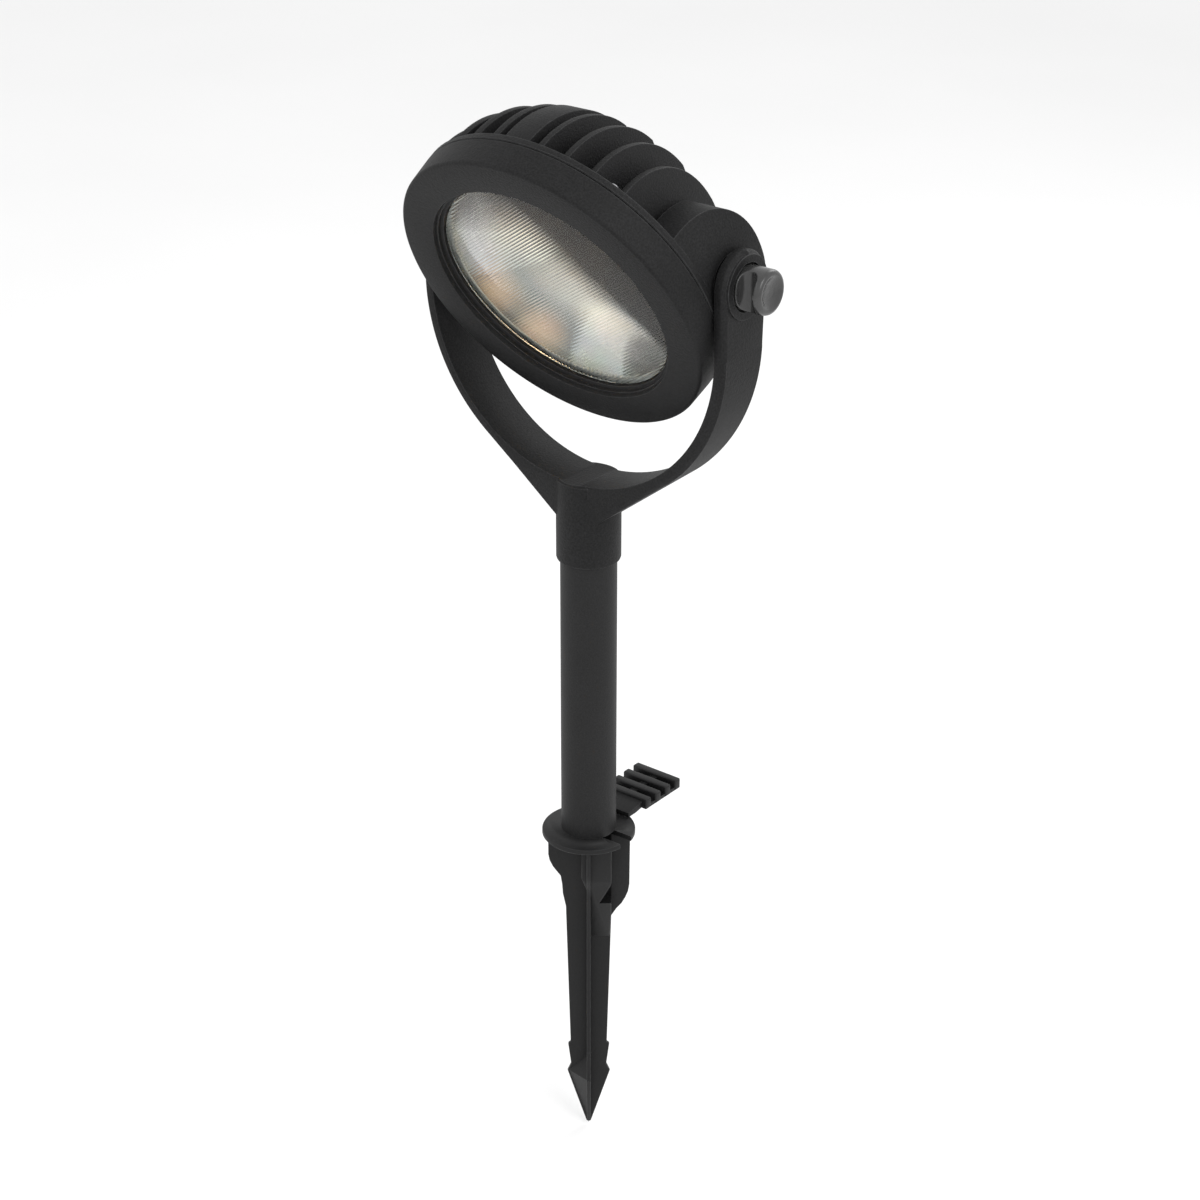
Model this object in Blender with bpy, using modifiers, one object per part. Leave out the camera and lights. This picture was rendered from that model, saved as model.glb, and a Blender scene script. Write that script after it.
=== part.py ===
"""Garden light projector on a ground stake.

Frame: metres, +Z up.  The stake's axis is Z, the head tilts about an axis along X, and the lamp
faces -Y and downwards.  The origin is on the stake's axis where the flange meets the soil.
"""
import bmesh
import bpy
from math import asin, cos, pi, radians, sin, sqrt
from mathutils import Matrix, Vector

# ---------------------------------------------------------------- driving dimensions
GAP = 0.0003                # clearance between pieces that touch
OVERLAP = 0.0005            # how far shapes run into each other before a union

PIVOT_Z = 0.2790            # height of the tilt axis
TILT = radians(29.0)        # how far the lamp faces down at rest

TUBE_RADIUS = 0.0125
TUBE_WALL = 0.0015
TUBE_BOTTOM = 0.0028
HUB_RADIUS = 0.0142
HUB_BOTTOM = 0.1385
HUB_TOP = 0.1775
HUB_SOCKET_TOP = 0.1640     # top of the socket that the tube stands in

GRUB_Z = 0.1480             # height of the screw that grips the tube

RING_Z = 0.2515             # centre of the yoke's round lower part
RING_INNER = 0.0742
BAND = 0.0052               # thickness of the yoke's band
BAND_LOW_WIDTH = 0.0228     # width of the band at the bottom of the ring
ARM_TOP_WIDTH = 0.0300      # width of the arms at the pivot
GUSSET_SLOPE = radians(37.6)

BEZEL_RADIUS = 0.0726
BEZEL_DEPTH = 0.0135
FACE_Z = 0.0302             # front of the bezel ahead of the tilt axis
LIP_RADIUS = 0.0572
GLASS_RADIUS = 0.0612
GLASS_STEP = 0.0543         # radius of the glass's raised middle
FLANGE_DEPTH = 0.0034       # rim of the housing behind the bezel
DOME_ARC = 0.0500           # the fins end on a dome: an arc of this radius turned about the axis
DOME_ARC_CENTRE = (0.0213, 0.0127)
BACK_Z = -0.0323            # flat back of the fins
CORE_RADIUS = 0.0622
EAR_HALF_WIDTH = 0.0346
EAR_BACK_Z = -0.0218
FIN_PITCH = 0.01155
FIN_THICKNESS = 0.0030
FIN_SIDES = 4               # fins on each side of the middle rib
RIB_WIDTH = 0.0125
BOARD_TOP = -0.0050         # top of the LED board
LAMP_HEIGHT = 0.0042
POCKET_Z = -0.0220          # floor of the pocket for the driver
SCREW_PLACE = (0.0404, 0.0537)  # rim screws, in the valleys between fins

SPIKE_TURN = radians(38.0)  # the stake's blades stand at this angle to the yoke
FLANGE_RADIUS = 0.0213
FLANGE_THICKNESS = 0.0025
SLEEVE_LEFT = -0.0032       # sides of the box-shaped sleeve under the flange
SLEEVE_RIGHT = 0.0104
SLEEVE_REACH = 0.0135
POINT_RADIUS = 0.0102       # four-sided point
POINT_TOP = -0.1323
SPIKE_DEPTH = 0.1635
BLADE = 0.0018
SLOT_TURN = radians(-36.0)  # direction of the cable slot from the wide blade
SLOT_WIDTH = 0.0084
SLOT_REACH = 0.0310
COMB_NEAR = 0.0290          # distance of the comb's first bar from the stake's axis
COMB_PITCH = 0.0075
COMB_WIDTH = 0.0250
COMB_Z = 0.0058

KNOB_RADIUS = 0.0094
KNOB_LENGTH = 0.0122
KNOB_RECESS = 0.0012
WASHER = 0.0008
SPACER = 0.0034             # distance from the ears to the arms

OBJECT_NAME = "light_projector_stake"

# ---------------------------------------------------------------- scene helpers
for old in list(bpy.data.objects):
    bpy.data.objects.remove(old, do_unlink=True)

PARTS = bpy.data.collections.new(OBJECT_NAME)
CUTTERS = bpy.data.collections.new("cutters")
for collection in (PARTS, CUTTERS):
    bpy.context.scene.collection.children.link(collection)


def material(name, colour, roughness, metallic=0.0):
    """A plain Principled finish."""
    finish = bpy.data.materials.new(name)
    finish.use_nodes = True
    shader = finish.node_tree.nodes["Principled BSDF"]
    shader.inputs["Base Color"].default_value = (*colour, 1.0)
    shader.inputs["Roughness"].default_value = roughness
    shader.inputs["Metallic"].default_value = metallic
    return finish


def make_object(name, mesh, collection=CUTTERS):
    """A new object for a mesh; it starts among the cutters, which are not parts."""
    made = bpy.data.objects.new(name, mesh)
    collection.objects.link(made)
    if collection is CUTTERS:
        made.hide_render = True
        made.display_type = "WIRE"
    return made


def make_part(made, finish, parent=None, smooth_angle=35.0):
    """Moves an object from the cutters to the parts and gives it its finish and parent."""
    CUTTERS.objects.unlink(made)
    PARTS.objects.link(made)
    made.hide_render = False
    made.display_type = "TEXTURED"
    made.data.materials.clear()
    made.data.materials.append(finish)
    made.data.shade_smooth()
    made.data.set_sharp_from_angle(angle=radians(smooth_angle))
    made.parent = parent
    return made


def from_bmesh(name, work):
    """Turns bmesh work into an object with its faces pointing out."""
    bmesh.ops.recalc_face_normals(work, faces=work.faces)
    mesh = bpy.data.meshes.new(name)
    work.to_mesh(mesh)
    work.free()
    return make_object(name, mesh)


def box(name, size, centre, turn=None):
    """A box of the given size about a centre, turned about that centre."""
    work = bmesh.new()
    bmesh.ops.create_cube(work, size=1.0)
    place = Matrix.Translation(centre) @ (turn or Matrix.Identity(4))
    bmesh.ops.transform(work, matrix=place @ Matrix.Diagonal((*size, 1.0)), verts=work.verts)
    return from_bmesh(name, work)


def rod(name, radius, start, end, steps=24, end_radius=None):
    """A solid cylinder or cone between two points."""
    start = Vector(start)
    end = Vector(end)
    work = bmesh.new()
    turn = (end - start).to_track_quat("Z", "Y").to_matrix().to_4x4()
    bmesh.ops.create_cone(
        work,
        cap_ends=True,
        segments=steps,
        radius1=radius,
        radius2=radius if end_radius is None else end_radius,
        depth=(end - start).length,
        matrix=Matrix.Translation((start + end) / 2) @ turn,
    )
    return from_bmesh(name, work)


def turned(name, profile, steps=40, closed=False, place=None):
    """A solid of revolution about Z from (radius, z) points that run down its outer side."""
    mesh = bpy.data.meshes.new(name)
    edges = [(index, index + 1) for index in range(len(profile) - 1)]
    if closed:
        edges.append((len(profile) - 1, 0))
    mesh.from_pydata([(radius, 0.0, z) for radius, z in profile], edges, [])
    made = make_object(name, mesh)
    screw = made.modifiers.new("turn", "SCREW")
    screw.axis = "Z"
    screw.angle = 2 * pi
    screw.steps = steps
    screw.render_steps = steps
    screw.use_merge_vertices = True
    screw.merge_threshold = 0.00001
    return bake(made, place)


def bake(made, place=None):
    """Applies an object's modifiers, and turns or moves its mesh."""
    graph = bpy.context.evaluated_depsgraph_get()
    mesh = bpy.data.meshes.new_from_object(made.evaluated_get(graph))
    made.modifiers.clear()
    made.data = mesh
    if place is not None:
        mesh.transform(place)
    return made


def flat(name, outline, thickness, place=None):
    """A flat shape: a filled outline in XY, thickened along Z about its plane."""
    curve = bpy.data.curves.new(name, "CURVE")
    curve.dimensions = "2D"
    curve.fill_mode = "BOTH"
    curve.extrude = thickness / 2
    spline = curve.splines.new("POLY")
    spline.points.add(len(outline) - 1)
    for point, (x, y) in zip(spline.points, outline):
        point.co = (x, y, 0.0, 1.0)
    spline.use_cyclic_u = True
    drawn = bpy.data.objects.new(name + "_curve", curve)
    CUTTERS.objects.link(drawn)
    graph = bpy.context.evaluated_depsgraph_get()
    mesh = bpy.data.meshes.new_from_object(drawn.evaluated_get(graph))
    bpy.data.objects.remove(drawn, do_unlink=True)
    work = bmesh.new()
    work.from_mesh(mesh)
    bmesh.ops.remove_doubles(work, verts=work.verts, dist=0.00001)
    if place is not None:
        bmesh.ops.transform(work, matrix=place, verts=work.verts)
    return from_bmesh(name, work)


def combine(made, others, operation):
    """Joins, cuts or intersects an object with others, exactly, and applies it."""
    for other in others:
        step = made.modifiers.new(operation.lower(), "BOOLEAN")
        step.operation = operation
        step.solver = "EXACT"
        step.object = other
        bake(made)
    for other in others:
        bpy.data.objects.remove(other, do_unlink=True)
    return made


def arc(radius, first, last, count, centre=(0.0, 0.0)):
    """Points along an arc, both ends included; angles in radians."""
    points = []
    for index in range(count + 1):
        angle = first + (last - first) * index / count
        points.append((centre[0] + radius * cos(angle), centre[1] + radius * sin(angle)))
    return points


def empty(name, location, rotation=(0.0, 0.0, 0.0)):
    """A joint's frame."""
    made = bpy.data.objects.new(name, None)
    made.empty_display_size = 0.02
    made.location = location
    made.rotation_euler = rotation
    PARTS.objects.link(made)
    return made


ALONG_X = Matrix.Rotation(pi / 2, 4, "Y")
OUTLINE_XZ = Matrix.Rotation(pi / 2, 4, "X")
OUTLINE_YZ = Matrix(((0, 0, 1, 0), (1, 0, 0, 0), (0, 1, 0, 0), (0, 0, 0, 1)))

# ---------------------------------------------------------------- finishes
CAST = material("charcoal_cast_metal", (0.028, 0.028, 0.030), 0.55, 0.0)
TUBE_PAINT = material("charcoal_tube_paint", (0.030, 0.030, 0.031), 0.60, 0.0)
PLASTIC = material("charcoal_plastic", (0.030, 0.030, 0.032), 0.62, 0.0)
RUBBER = material("black_rubber", (0.012, 0.012, 0.012), 0.80, 0.0)
GLOSS = material("gloss_knob_plastic", (0.022, 0.022, 0.022), 0.25, 0.0)
STEEL = material("stainless_steel", (0.52, 0.52, 0.52), 0.30, 1.0)
GLASS = material("ribbed_glass", (0.80, 0.84, 0.82), 0.10, 0.0)
MIRROR = material("bright_reflector", (0.88, 0.88, 0.88), 0.12, 1.0)
BOARD = material("white_led_board", (0.82, 0.82, 0.80), 0.45, 0.0)
LAMP = material("warm_led_face", (0.95, 0.78, 0.42), 0.40, 0.0)


# ---------------------------------------------------------------- stake and tube
def ground_spike(frame):
    """Flange, sleeve and four blades with a barbed point, moulded in one."""
    shoulder = [(0.0186, OVERLAP), (0.0186, -0.0120), (0.0165, -0.0185), (0.0130, -0.0235)]
    shoulder += [(0.0120, -0.0330), (0.0106, -0.0400)]
    leg = [(0.0190, OVERLAP), (0.0188, -0.0280), (0.0170, -0.0350), (0.0130, -0.0410)]
    leg.append((0.0105, -0.0450))
    point_side = [(0.0086, -0.1160), (0.0098, -0.1170), (0.0084, -0.1285), (0.0101, -0.1325)]
    point_side.append((0.0010, 0.0014 - SPIKE_DEPTH))
    left = [(-x, z) for x, z in reversed(shoulder + point_side)]
    spike = flat("ground_spike", leg + point_side + left, BLADE, OUTLINE_XZ)
    quarter = Matrix.Rotation(pi / 2, 4, "Z")
    across = flat("cross_blade", shoulder + point_side + left, BLADE, quarter @ OUTLINE_XZ)
    sleeve_side = [(SLEEVE_LEFT, OVERLAP), (SLEEVE_LEFT, -0.0181), (0.0008, -0.0293)]
    sleeve_side += [(0.0008, -0.0560), (SLEEVE_RIGHT - 0.0006, -0.0560)]
    sleeve_side += [(SLEEVE_RIGHT, -0.0420), (SLEEVE_RIGHT, OVERLAP)]
    sleeve = flat("sleeve", sleeve_side, 2 * SLEEVE_REACH, OUTLINE_XZ)
    slope = [(-SLEEVE_REACH, 0.01), (SLEEVE_REACH, 0.01), (SLEEVE_REACH, -0.0190)]
    slope += [(0.0012, -0.0570), (-0.0012, -0.0570), (-SLEEVE_REACH, -0.0190)]
    combine(sleeve, [flat("slope", slope, 0.060, OUTLINE_YZ)], "INTERSECT")
    flange_side = [(0.0, FLANGE_THICKNESS), (FLANGE_RADIUS - 0.0006, FLANGE_THICKNESS)]
    flange_side += [(FLANGE_RADIUS, FLANGE_THICKNESS - 0.0006), (FLANGE_RADIUS, 0.0), (0.0, 0.0)]
    flange = turned("flange", flange_side, 40)
    point = rod("point", 0.0, (0, 0, -SPIKE_DEPTH), (0, 0, POINT_TOP), 4, POINT_RADIUS)
    shoulder_top = (0, 0, POINT_TOP + 0.0080)
    point_back = rod("point_back", POINT_RADIUS, (0, 0, POINT_TOP), shoulder_top, 4, 0.0020)
    spigot = rod("spigot", TUBE_RADIUS - TUBE_WALL - GAP, (0, 0, 0.001), (0, 0, 0.030), 28)
    combine(spike, [across, sleeve, flange, point, point_back, spigot], "UNION")
    slot_turn = Matrix.Rotation(SLOT_TURN, 4, "Z")
    slot_centre = slot_turn @ Vector((SLOT_REACH / 2, 0.0, -0.0145))
    slot = box("cable_slot", (SLOT_REACH, SLOT_WIDTH, 0.0380), slot_centre, slot_turn)
    bore = rod("cable_bore", 0.0045, (0, 0, 0.0004), (0, 0, 0.0310), 24)
    combine(spike, [slot, bore], "DIFFERENCE")
    return make_part(spike, PLASTIC, frame)


def cable_comb():
    """Ladder-shaped cable holder behind the tube: a neck, a spine and four open-ended bars."""
    middle = COMB_NEAR + 1.5 * COMB_PITCH
    comb = box("cable_comb", (0.0034, 3 * COMB_PITCH, 0.0034), (0, middle, COMB_Z - 0.0008))
    shapes = [box("floor", (COMB_WIDTH - 0.0010, 3 * COMB_PITCH, 0.0016), (0, middle, COMB_Z - 0.0018))]
    for index in range(4):
        along = COMB_NEAR + index * COMB_PITCH
        shapes.append(box("bar", (COMB_WIDTH, 0.0040, 0.0052), (0, along, COMB_Z)))
    neck_low = FLANGE_THICKNESS + GAP
    neck = [(0.0170, neck_low), (0.0225, neck_low), (COMB_NEAR, COMB_Z - 0.0020)]
    neck += [(COMB_NEAR, COMB_Z + 0.0018), (0.0250, COMB_Z + 0.0004), (0.0170, 0.0052)]
    shapes.append(flat("neck", neck, 0.0200, OUTLINE_YZ))
    combine(comb, shapes, "UNION")
    return make_part(comb, PLASTIC)


def stem_tube():
    """Painted tube between the stake and the yoke."""
    inner = TUBE_RADIUS - TUBE_WALL
    top = HUB_SOCKET_TOP - GAP
    side = [
        (inner, top),
        (TUBE_RADIUS - 0.0004, top),
        (TUBE_RADIUS, top - 0.0004),
        (TUBE_RADIUS, TUBE_BOTTOM + 0.0004),
        (TUBE_RADIUS - 0.0004, TUBE_BOTTOM),
        (inner, TUBE_BOTTOM),
    ]
    return make_part(turned("stem_tube", side, 40, closed=True), TUBE_PAINT)


# ---------------------------------------------------------------- yoke
def band_width(z):
    """Width of the yoke's band at a height: it grows towards the pivots."""
    bottom = RING_Z - RING_INNER
    return BAND_LOW_WIDTH + (ARM_TOP_WIDTH - BAND_LOW_WIDTH) * (z - bottom) / (PIVOT_Z - bottom)


def yoke_front_outline():
    """Outline of the yoke seen along Y: hub neck, tangent sides, round bowl and straight arms."""
    outer = RING_INNER + BAND
    top = PIVOT_Z + ARM_TOP_WIDTH / 2 + 0.002
    tangent = -pi / 2 + GUSSET_SLOPE
    touch = Vector((outer * cos(tangent), RING_Z + outer * sin(tangent)))
    neck = 0.0080
    neck_z = touch.y - (touch.x - neck) * sin(GUSSET_SLOPE) / cos(GUSSET_SLOPE)
    right = [(neck, neck_z)]
    right += arc(outer, tangent, 0.0, 16, (0.0, RING_Z))
    right += [(outer, top), (RING_INNER, top)]
    bowl = arc(RING_INNER, 0.0, -pi, 32, (0.0, RING_Z))
    left = [(-x, z) for x, z in reversed(right)]
    return right + bowl + left


def yoke_side_outline():
    """Outline of the yoke seen along X: it widens upwards and ends in a half circle."""
    half = ARM_TOP_WIDTH / 2
    low = HUB_BOTTOM
    low_half = band_width(RING_Z - RING_INNER) / 2
    side = [(low_half, low), (low_half, RING_Z - RING_INNER)]
    over = arc(half, 0.0, pi, 18, (0.0, PIVOT_Z))
    return side + over + [(-low_half, RING_Z - RING_INNER), (-low_half, low)]


def yoke(frame):
    """Cast bowl-shaped yoke with a hub below and a round recess for the knob on its right arm."""
    outer = RING_INNER + BAND
    shape = flat("yoke", yoke_front_outline(), 2 * ARM_TOP_WIDTH, OUTLINE_XZ)
    side = flat("side", yoke_side_outline(), 0.200, OUTLINE_YZ)
    combine(shape, [side], "INTERSECT")
    hub_side = [(0.0, HUB_TOP), (HUB_RADIUS, HUB_TOP), (HUB_RADIUS, HUB_BOTTOM + 0.0010)]
    hub_side += [(HUB_RADIUS - 0.0010, HUB_BOTTOM), (0.0, HUB_BOTTOM)]
    hub = turned("hub", hub_side, 40)
    top_cut = rod("bowl_cut", RING_INNER, (0, -0.03, RING_Z), (0, 0.03, RING_Z), 56)
    combine(hub, [top_cut], "DIFFERENCE")
    boss = rod("knob_boss", 0.0136, (outer - OVERLAP, 0, PIVOT_Z), (outer + 0.0008, 0, PIVOT_Z), 32)
    combine(shape, [hub, boss], "UNION")
    socket_low = (0, 0, HUB_BOTTOM - 0.01)
    socket = rod("stem_socket", TUBE_RADIUS + GAP, socket_low, (0, 0, HUB_SOCKET_TOP), 40)
    recess_floor = (outer - KNOB_RECESS, 0, PIVOT_Z)
    recess = rod("knob_recess", KNOB_RADIUS + 0.0008, recess_floor, (0.09, 0, PIVOT_Z), 32)
    right_bore = rod("right_bore", 0.0031, (0.06, 0, PIVOT_Z), (0.09, 0, PIVOT_Z), 24)
    left_bore = rod("left_bore", 0.0031, (-0.09, 0, PIVOT_Z), (-0.06, 0, PIVOT_Z), 24)
    grub_bore = rod("grub_bore", 0.0027, (0, 0.005, GRUB_Z), (0, 0.020, GRUB_Z), 20)
    combine(shape, [socket, recess, right_bore, left_bore, grub_bore], "DIFFERENCE")
    return make_part(shape, CAST, frame)


def grub_screw(frame):
    """Screw at the back of the hub that grips the tube."""
    start = TUBE_RADIUS + GAP
    screw = rod("grub_screw", 0.0024, (0, start, GRUB_Z), (0, start + 0.0042, GRUB_Z), 20)
    socket = rod("hex", 0.0012, (0, start + 0.0020, GRUB_Z), (0, start + 0.0080, GRUB_Z), 6)
    combine(screw, [socket], "DIFFERENCE")
    return make_part(screw, STEEL, frame)


def pivot_fittings(yoke_frame, head_frame):
    """Spacers between head and arms, the left pivot screw, and the washer under the knob."""
    for sign, word in ((-1, "left"), (1, "right")):
        near = sign * (RING_INNER - SPACER + GAP)
        far = sign * (RING_INNER - GAP)
        spacer = rod("pivot_spacer_" + word, 0.0110, (near, 0, 0), (far, 0, 0), 28)
        bore = rod("bore", 0.0034, (sign * 0.05, 0, 0), (sign * 0.09, 0, 0), 24)
        combine(spacer, [bore], "DIFFERENCE")
        make_part(spacer, PLASTIC, head_frame)
    outer = RING_INNER + BAND
    start = -(outer + 0.0036)
    screw = rod("pivot_screw", 0.0028, (-0.0600, 0, 0), (-(outer + 0.0010), 0, 0), 24)
    head = rod("head", 0.0056, (-(outer + GAP), 0, 0), (start, 0, 0), 24)
    combine(screw, [head], "UNION")
    socket = rod("hex", 0.0022, (-(outer + 0.0018), 0, 0), (start - 0.002, 0, 0), 6)
    combine(screw, [socket], "DIFFERENCE")
    make_part(screw, STEEL, yoke_frame)
    floor = outer - KNOB_RECESS + GAP
    washer = rod("knob_washer", 0.0088, (floor, 0, 0), (floor + WASHER, 0, 0), 28)
    bore = rod("bore", 0.0032, (0.05, 0, 0), (0.09, 0, 0), 24)
    combine(washer, [bore], "DIFFERENCE")
    make_part(washer, STEEL, yoke_frame)


def wing_knob(frame):
    """Hand knob: a threaded stud, a round base and a pinched grip with a round outer end."""
    outer = RING_INNER + BAND
    base = outer - KNOB_RECESS + WASHER + 2 * GAP
    end = base + KNOB_LENGTH
    side = [
        (0.0, end - 0.0016),
        (0.0045, end - 0.0011),
        (KNOB_RADIUS - 0.0020, end),
        (KNOB_RADIUS - 0.0012, end),
        (KNOB_RADIUS - 0.0004, end - 0.0007),
        (KNOB_RADIUS, end - 0.0022),
        (KNOB_RADIUS, base + 0.0004),
        (KNOB_RADIUS - 0.0004, base),
        (0.0, base),
    ]
    knob = turned("wing_knob", side, 32, place=ALONG_X)
    scoops = []
    for sign in (-1, 1):
        waist = base + 0.0052
        low = (waist, sign * 0.0080, -0.02)
        scoops.append(rod("scoop", 0.0040, low, (waist, sign * 0.0080, 0.02), 28))
    combine(knob, scoops, "DIFFERENCE")
    stud = rod("stud", 0.0028, (0.0600, 0, 0), (base + 0.004, 0, 0), 24)
    combine(knob, [stud], "UNION")
    return make_part(knob, GLOSS, frame)


# ---------------------------------------------------------------- head
def front_bezel(frame):
    """Round bezel: flat front with a soft outer edge, a stepped mouth and a slightly flared side."""
    back = FACE_Z - BEZEL_DEPTH
    side = [(LIP_RADIUS, FACE_Z)]
    side += arc(0.0016, pi / 2, 0.0, 3, (BEZEL_RADIUS - 0.0016, FACE_Z - 0.0016))
    side += [(BEZEL_RADIUS + 0.0006, back), (0.0620, back), (0.0620, FACE_Z - 0.0074)]
    side += [(0.0548, FACE_Z - 0.0056), (0.0548, FACE_Z - 0.0048), (0.0558, FACE_Z - 0.0026)]
    bezel = turned("front_bezel", side, 56, closed=True)
    holes = [rod("hole", 0.0018, (x, y, 0), (x, y, back + 0.0075), 12) for x, y in screw_places()]
    combine(bezel, holes, "DIFFERENCE")
    return make_part(bezel, CAST, frame)


def screw_places():
    """Where the rim screws stand."""
    across, up = SCREW_PLACE
    return [(x, y) for x in (-across, across) for y in (-up, up)]


def ring_solid(name, inner, outer, top, bottom, steps=48):
    """A square ring about Z that is not yet a part."""
    side = [(inner, top), (outer, top), (outer, bottom), (inner, bottom)]
    return turned(name, side, steps, closed=True)


def front_glass(frame):
    """Toughened glass disc with a raised middle and a ground edge."""
    top = FACE_Z - 0.0085
    bottom = top - 0.0040
    ground = 0.0005
    raised = FACE_Z - 0.0054
    side = [(0.0, raised), (GLASS_STEP - ground, raised), (GLASS_STEP, raised - ground)]
    side += [(GLASS_STEP, top), (GLASS_RADIUS - ground, top), (GLASS_RADIUS, top - ground)]
    side += [(GLASS_RADIUS, bottom + ground), (GLASS_RADIUS - ground, bottom), (0.0, bottom)]
    return make_part(turned("front_glass", side, 56), GLASS, frame)


def reflector(frame):
    """Faceted cone-shaped reflector with an open throat over the LED."""
    top = FACE_Z - 0.0135
    throat = BOARD_TOP + 0.0006
    side = [
        (0.0540, top),
        (0.0560, top),
        (0.0560, top - 0.0012),
        (0.0545, top - 0.0012),
        (0.0370, 0.0023),
        (0.0165, throat),
        (0.0145, throat),
        (0.0360, 0.0034),
    ]
    return make_part(turned("reflector", side, 14, closed=True), MIRROR, frame, 10.0)


def led_parts(frame):
    """Round LED board, its light-emitting face, and the potted driver behind it."""
    board_bottom = BOARD_TOP - 0.0016
    board = rod("led_board", 0.0200, (0, 0, board_bottom), (0, 0, BOARD_TOP), 32)
    make_part(board, BOARD, frame)
    lamp_bottom = BOARD_TOP + GAP
    lamp = rod("led_lamp", 0.0110, (0, 0, lamp_bottom), (0, 0, lamp_bottom + LAMP_HEIGHT), 28)
    make_part(lamp, LAMP, frame)
    driver = rod("driver_module", 0.0230, (0, 0, POCKET_Z + GAP), (0, 0, board_bottom - GAP), 28)
    make_part(driver, PLASTIC, frame)


def fin_half_outline(x):
    """Half of a fin's outline at a distance from the middle: a slice of the dome, front to back."""
    across, centre_z = DOME_ARC_CENTRE
    front = FACE_Z - BEZEL_DEPTH - GAP - FLANGE_DEPTH + OVERLAP
    first = asin((front - centre_z) / DOME_ARC)
    last = -asin(min(centre_z - BACK_Z, sqrt(DOME_ARC**2 - max(x - across, 0.0) ** 2)) / DOME_ARC)
    steps = 9
    points = []
    for radius, z in arc(DOME_ARC, first, last, steps, DOME_ARC_CENTRE):
        points.append((sqrt(max(radius * radius - x * x, 0.0)), z))
    return points


def fin(x, thickness):
    """One cooling fin, square to the tilt axis."""
    upper = fin_half_outline(x)
    lower = [(-up, z) for up, z in reversed(upper) if up > 0.0001]
    place = Matrix.Translation((x, 0, 0)) @ OUTLINE_YZ
    return flat("fin", upper + lower, thickness, place)


def ear_outline():
    """Outline of a pivot ear seen along the tilt axis: straight sides and a rounded back."""
    front = FACE_Z - BEZEL_DEPTH - GAP - FLANGE_DEPTH + OVERLAP
    deep = front - EAR_BACK_Z
    points = []
    for index in range(21):
        angle = pi * index / 20
        up = EAR_HALF_WIDTH * abs(cos(angle)) ** (2 / 2.7) * (1 if cos(angle) > 0 else -1)
        points.append((up, front - deep * sin(angle) ** (2 / 2.7)))
    return points


def heat_sink_housing(frame):
    """Cast lamp housing: rim, round core, dome-shaped cooling fins, middle rib and pivot ears."""
    rim_top = FACE_Z - BEZEL_DEPTH - GAP
    rim_bottom = rim_top - FLANGE_DEPTH
    rim = BEZEL_RADIUS + 0.0006
    side = [(0.0, rim_top), (rim, rim_top), (rim, rim_bottom + 0.0008), (rim - 0.0006, rim_bottom)]
    side += [(CORE_RADIUS, rim_bottom), (CORE_RADIUS - 0.0062, 0.0030)]
    side += [(CORE_RADIUS - 0.0152, -0.0080), (CORE_RADIUS - 0.0242, -0.0180)]
    side += [(CORE_RADIUS - 0.0322, BACK_Z + 0.0050), (0.0, BACK_Z + 0.0050)]
    housing = turned("heat_sink_housing", side, 48)
    shapes = []
    for index in range(-FIN_SIDES, FIN_SIDES + 1):
        if index != 0:
            shapes.append(fin(index * FIN_PITCH, FIN_THICKNESS))
    shapes.append(fin(0.0, RIB_WIDTH))
    for sign in (-1, 1):
        ear = flat("ear", ear_outline(), 0.0240, Matrix.Translation((sign * 0.0630, 0, 0)) @ OUTLINE_YZ)
        bound = rod("bound", rim - 0.0004, (0, 0, -0.05), (0, 0, rim_bottom + 2 * OVERLAP), 48)
        combine(ear, [bound], "INTERSECT")
        shapes.append(ear)
    combine(housing, shapes, "UNION")
    cavity_side = [(0.0, 0.05), (0.0590, 0.05), (0.0590, FACE_Z - 0.0160), (0.0505, 0.0020)]
    floor = BOARD_TOP - 0.0019
    cavity_side += [(0.0390, -0.0060), (0.0290, floor), (0.0, floor)]
    cuts = [turned("cavity", cavity_side, 48)]
    cuts.append(rod("driver_pocket", 0.0235, (0, 0, POCKET_Z), (0, 0, floor + 0.001), 28))
    cuts.append(rod("gland_bore", 0.0051, (0, 0, -0.060), (0, 0, -0.010), 24))
    for x, y in screw_places():
        cuts.append(rod("hole", 0.0018, (x, y, rim_bottom - 0.003), (x, y, 0.03), 12))
    cuts.append(ring_solid("seal_groove", 0.0624, 0.0645, rim_top + 0.002, rim_top - 0.0012, 44))
    for sign in (-1, 1):
        seat = sign * (RING_INNER - SPACER)
        cuts.append(rod("spacer_seat", 0.0125, (seat, 0, 0), (sign * 0.08, 0, 0), 28))
        cuts.append(rod("pivot_thread", 0.0031, (sign * 0.0585, 0, 0), (sign * 0.08, 0, 0), 24))
    combine(housing, cuts, "DIFFERENCE")
    return make_part(housing, CAST, frame)


def rim_screws(frame):
    """Four screws that pull the bezel down on the rim from behind."""
    rim_bottom = FACE_Z - BEZEL_DEPTH - GAP - FLANGE_DEPTH
    for index, (x, y) in enumerate(screw_places()):
        name = "rim_screw_{}".format(index + 1)
        screw = rod(name, 0.0015, (x, y, rim_bottom - 0.001), (x, y, rim_bottom + 0.0100), 16)
        head = rod("head", 0.0026, (x, y, rim_bottom - GAP), (x, y, rim_bottom - 0.0025), 20)
        combine(screw, [head], "UNION")
        socket = rod("hex", 0.0012, (x, y, rim_bottom - 0.004), (x, y, rim_bottom - 0.0012), 6)
        combine(screw, [socket], "DIFFERENCE")
        make_part(screw, STEEL, frame)


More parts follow.
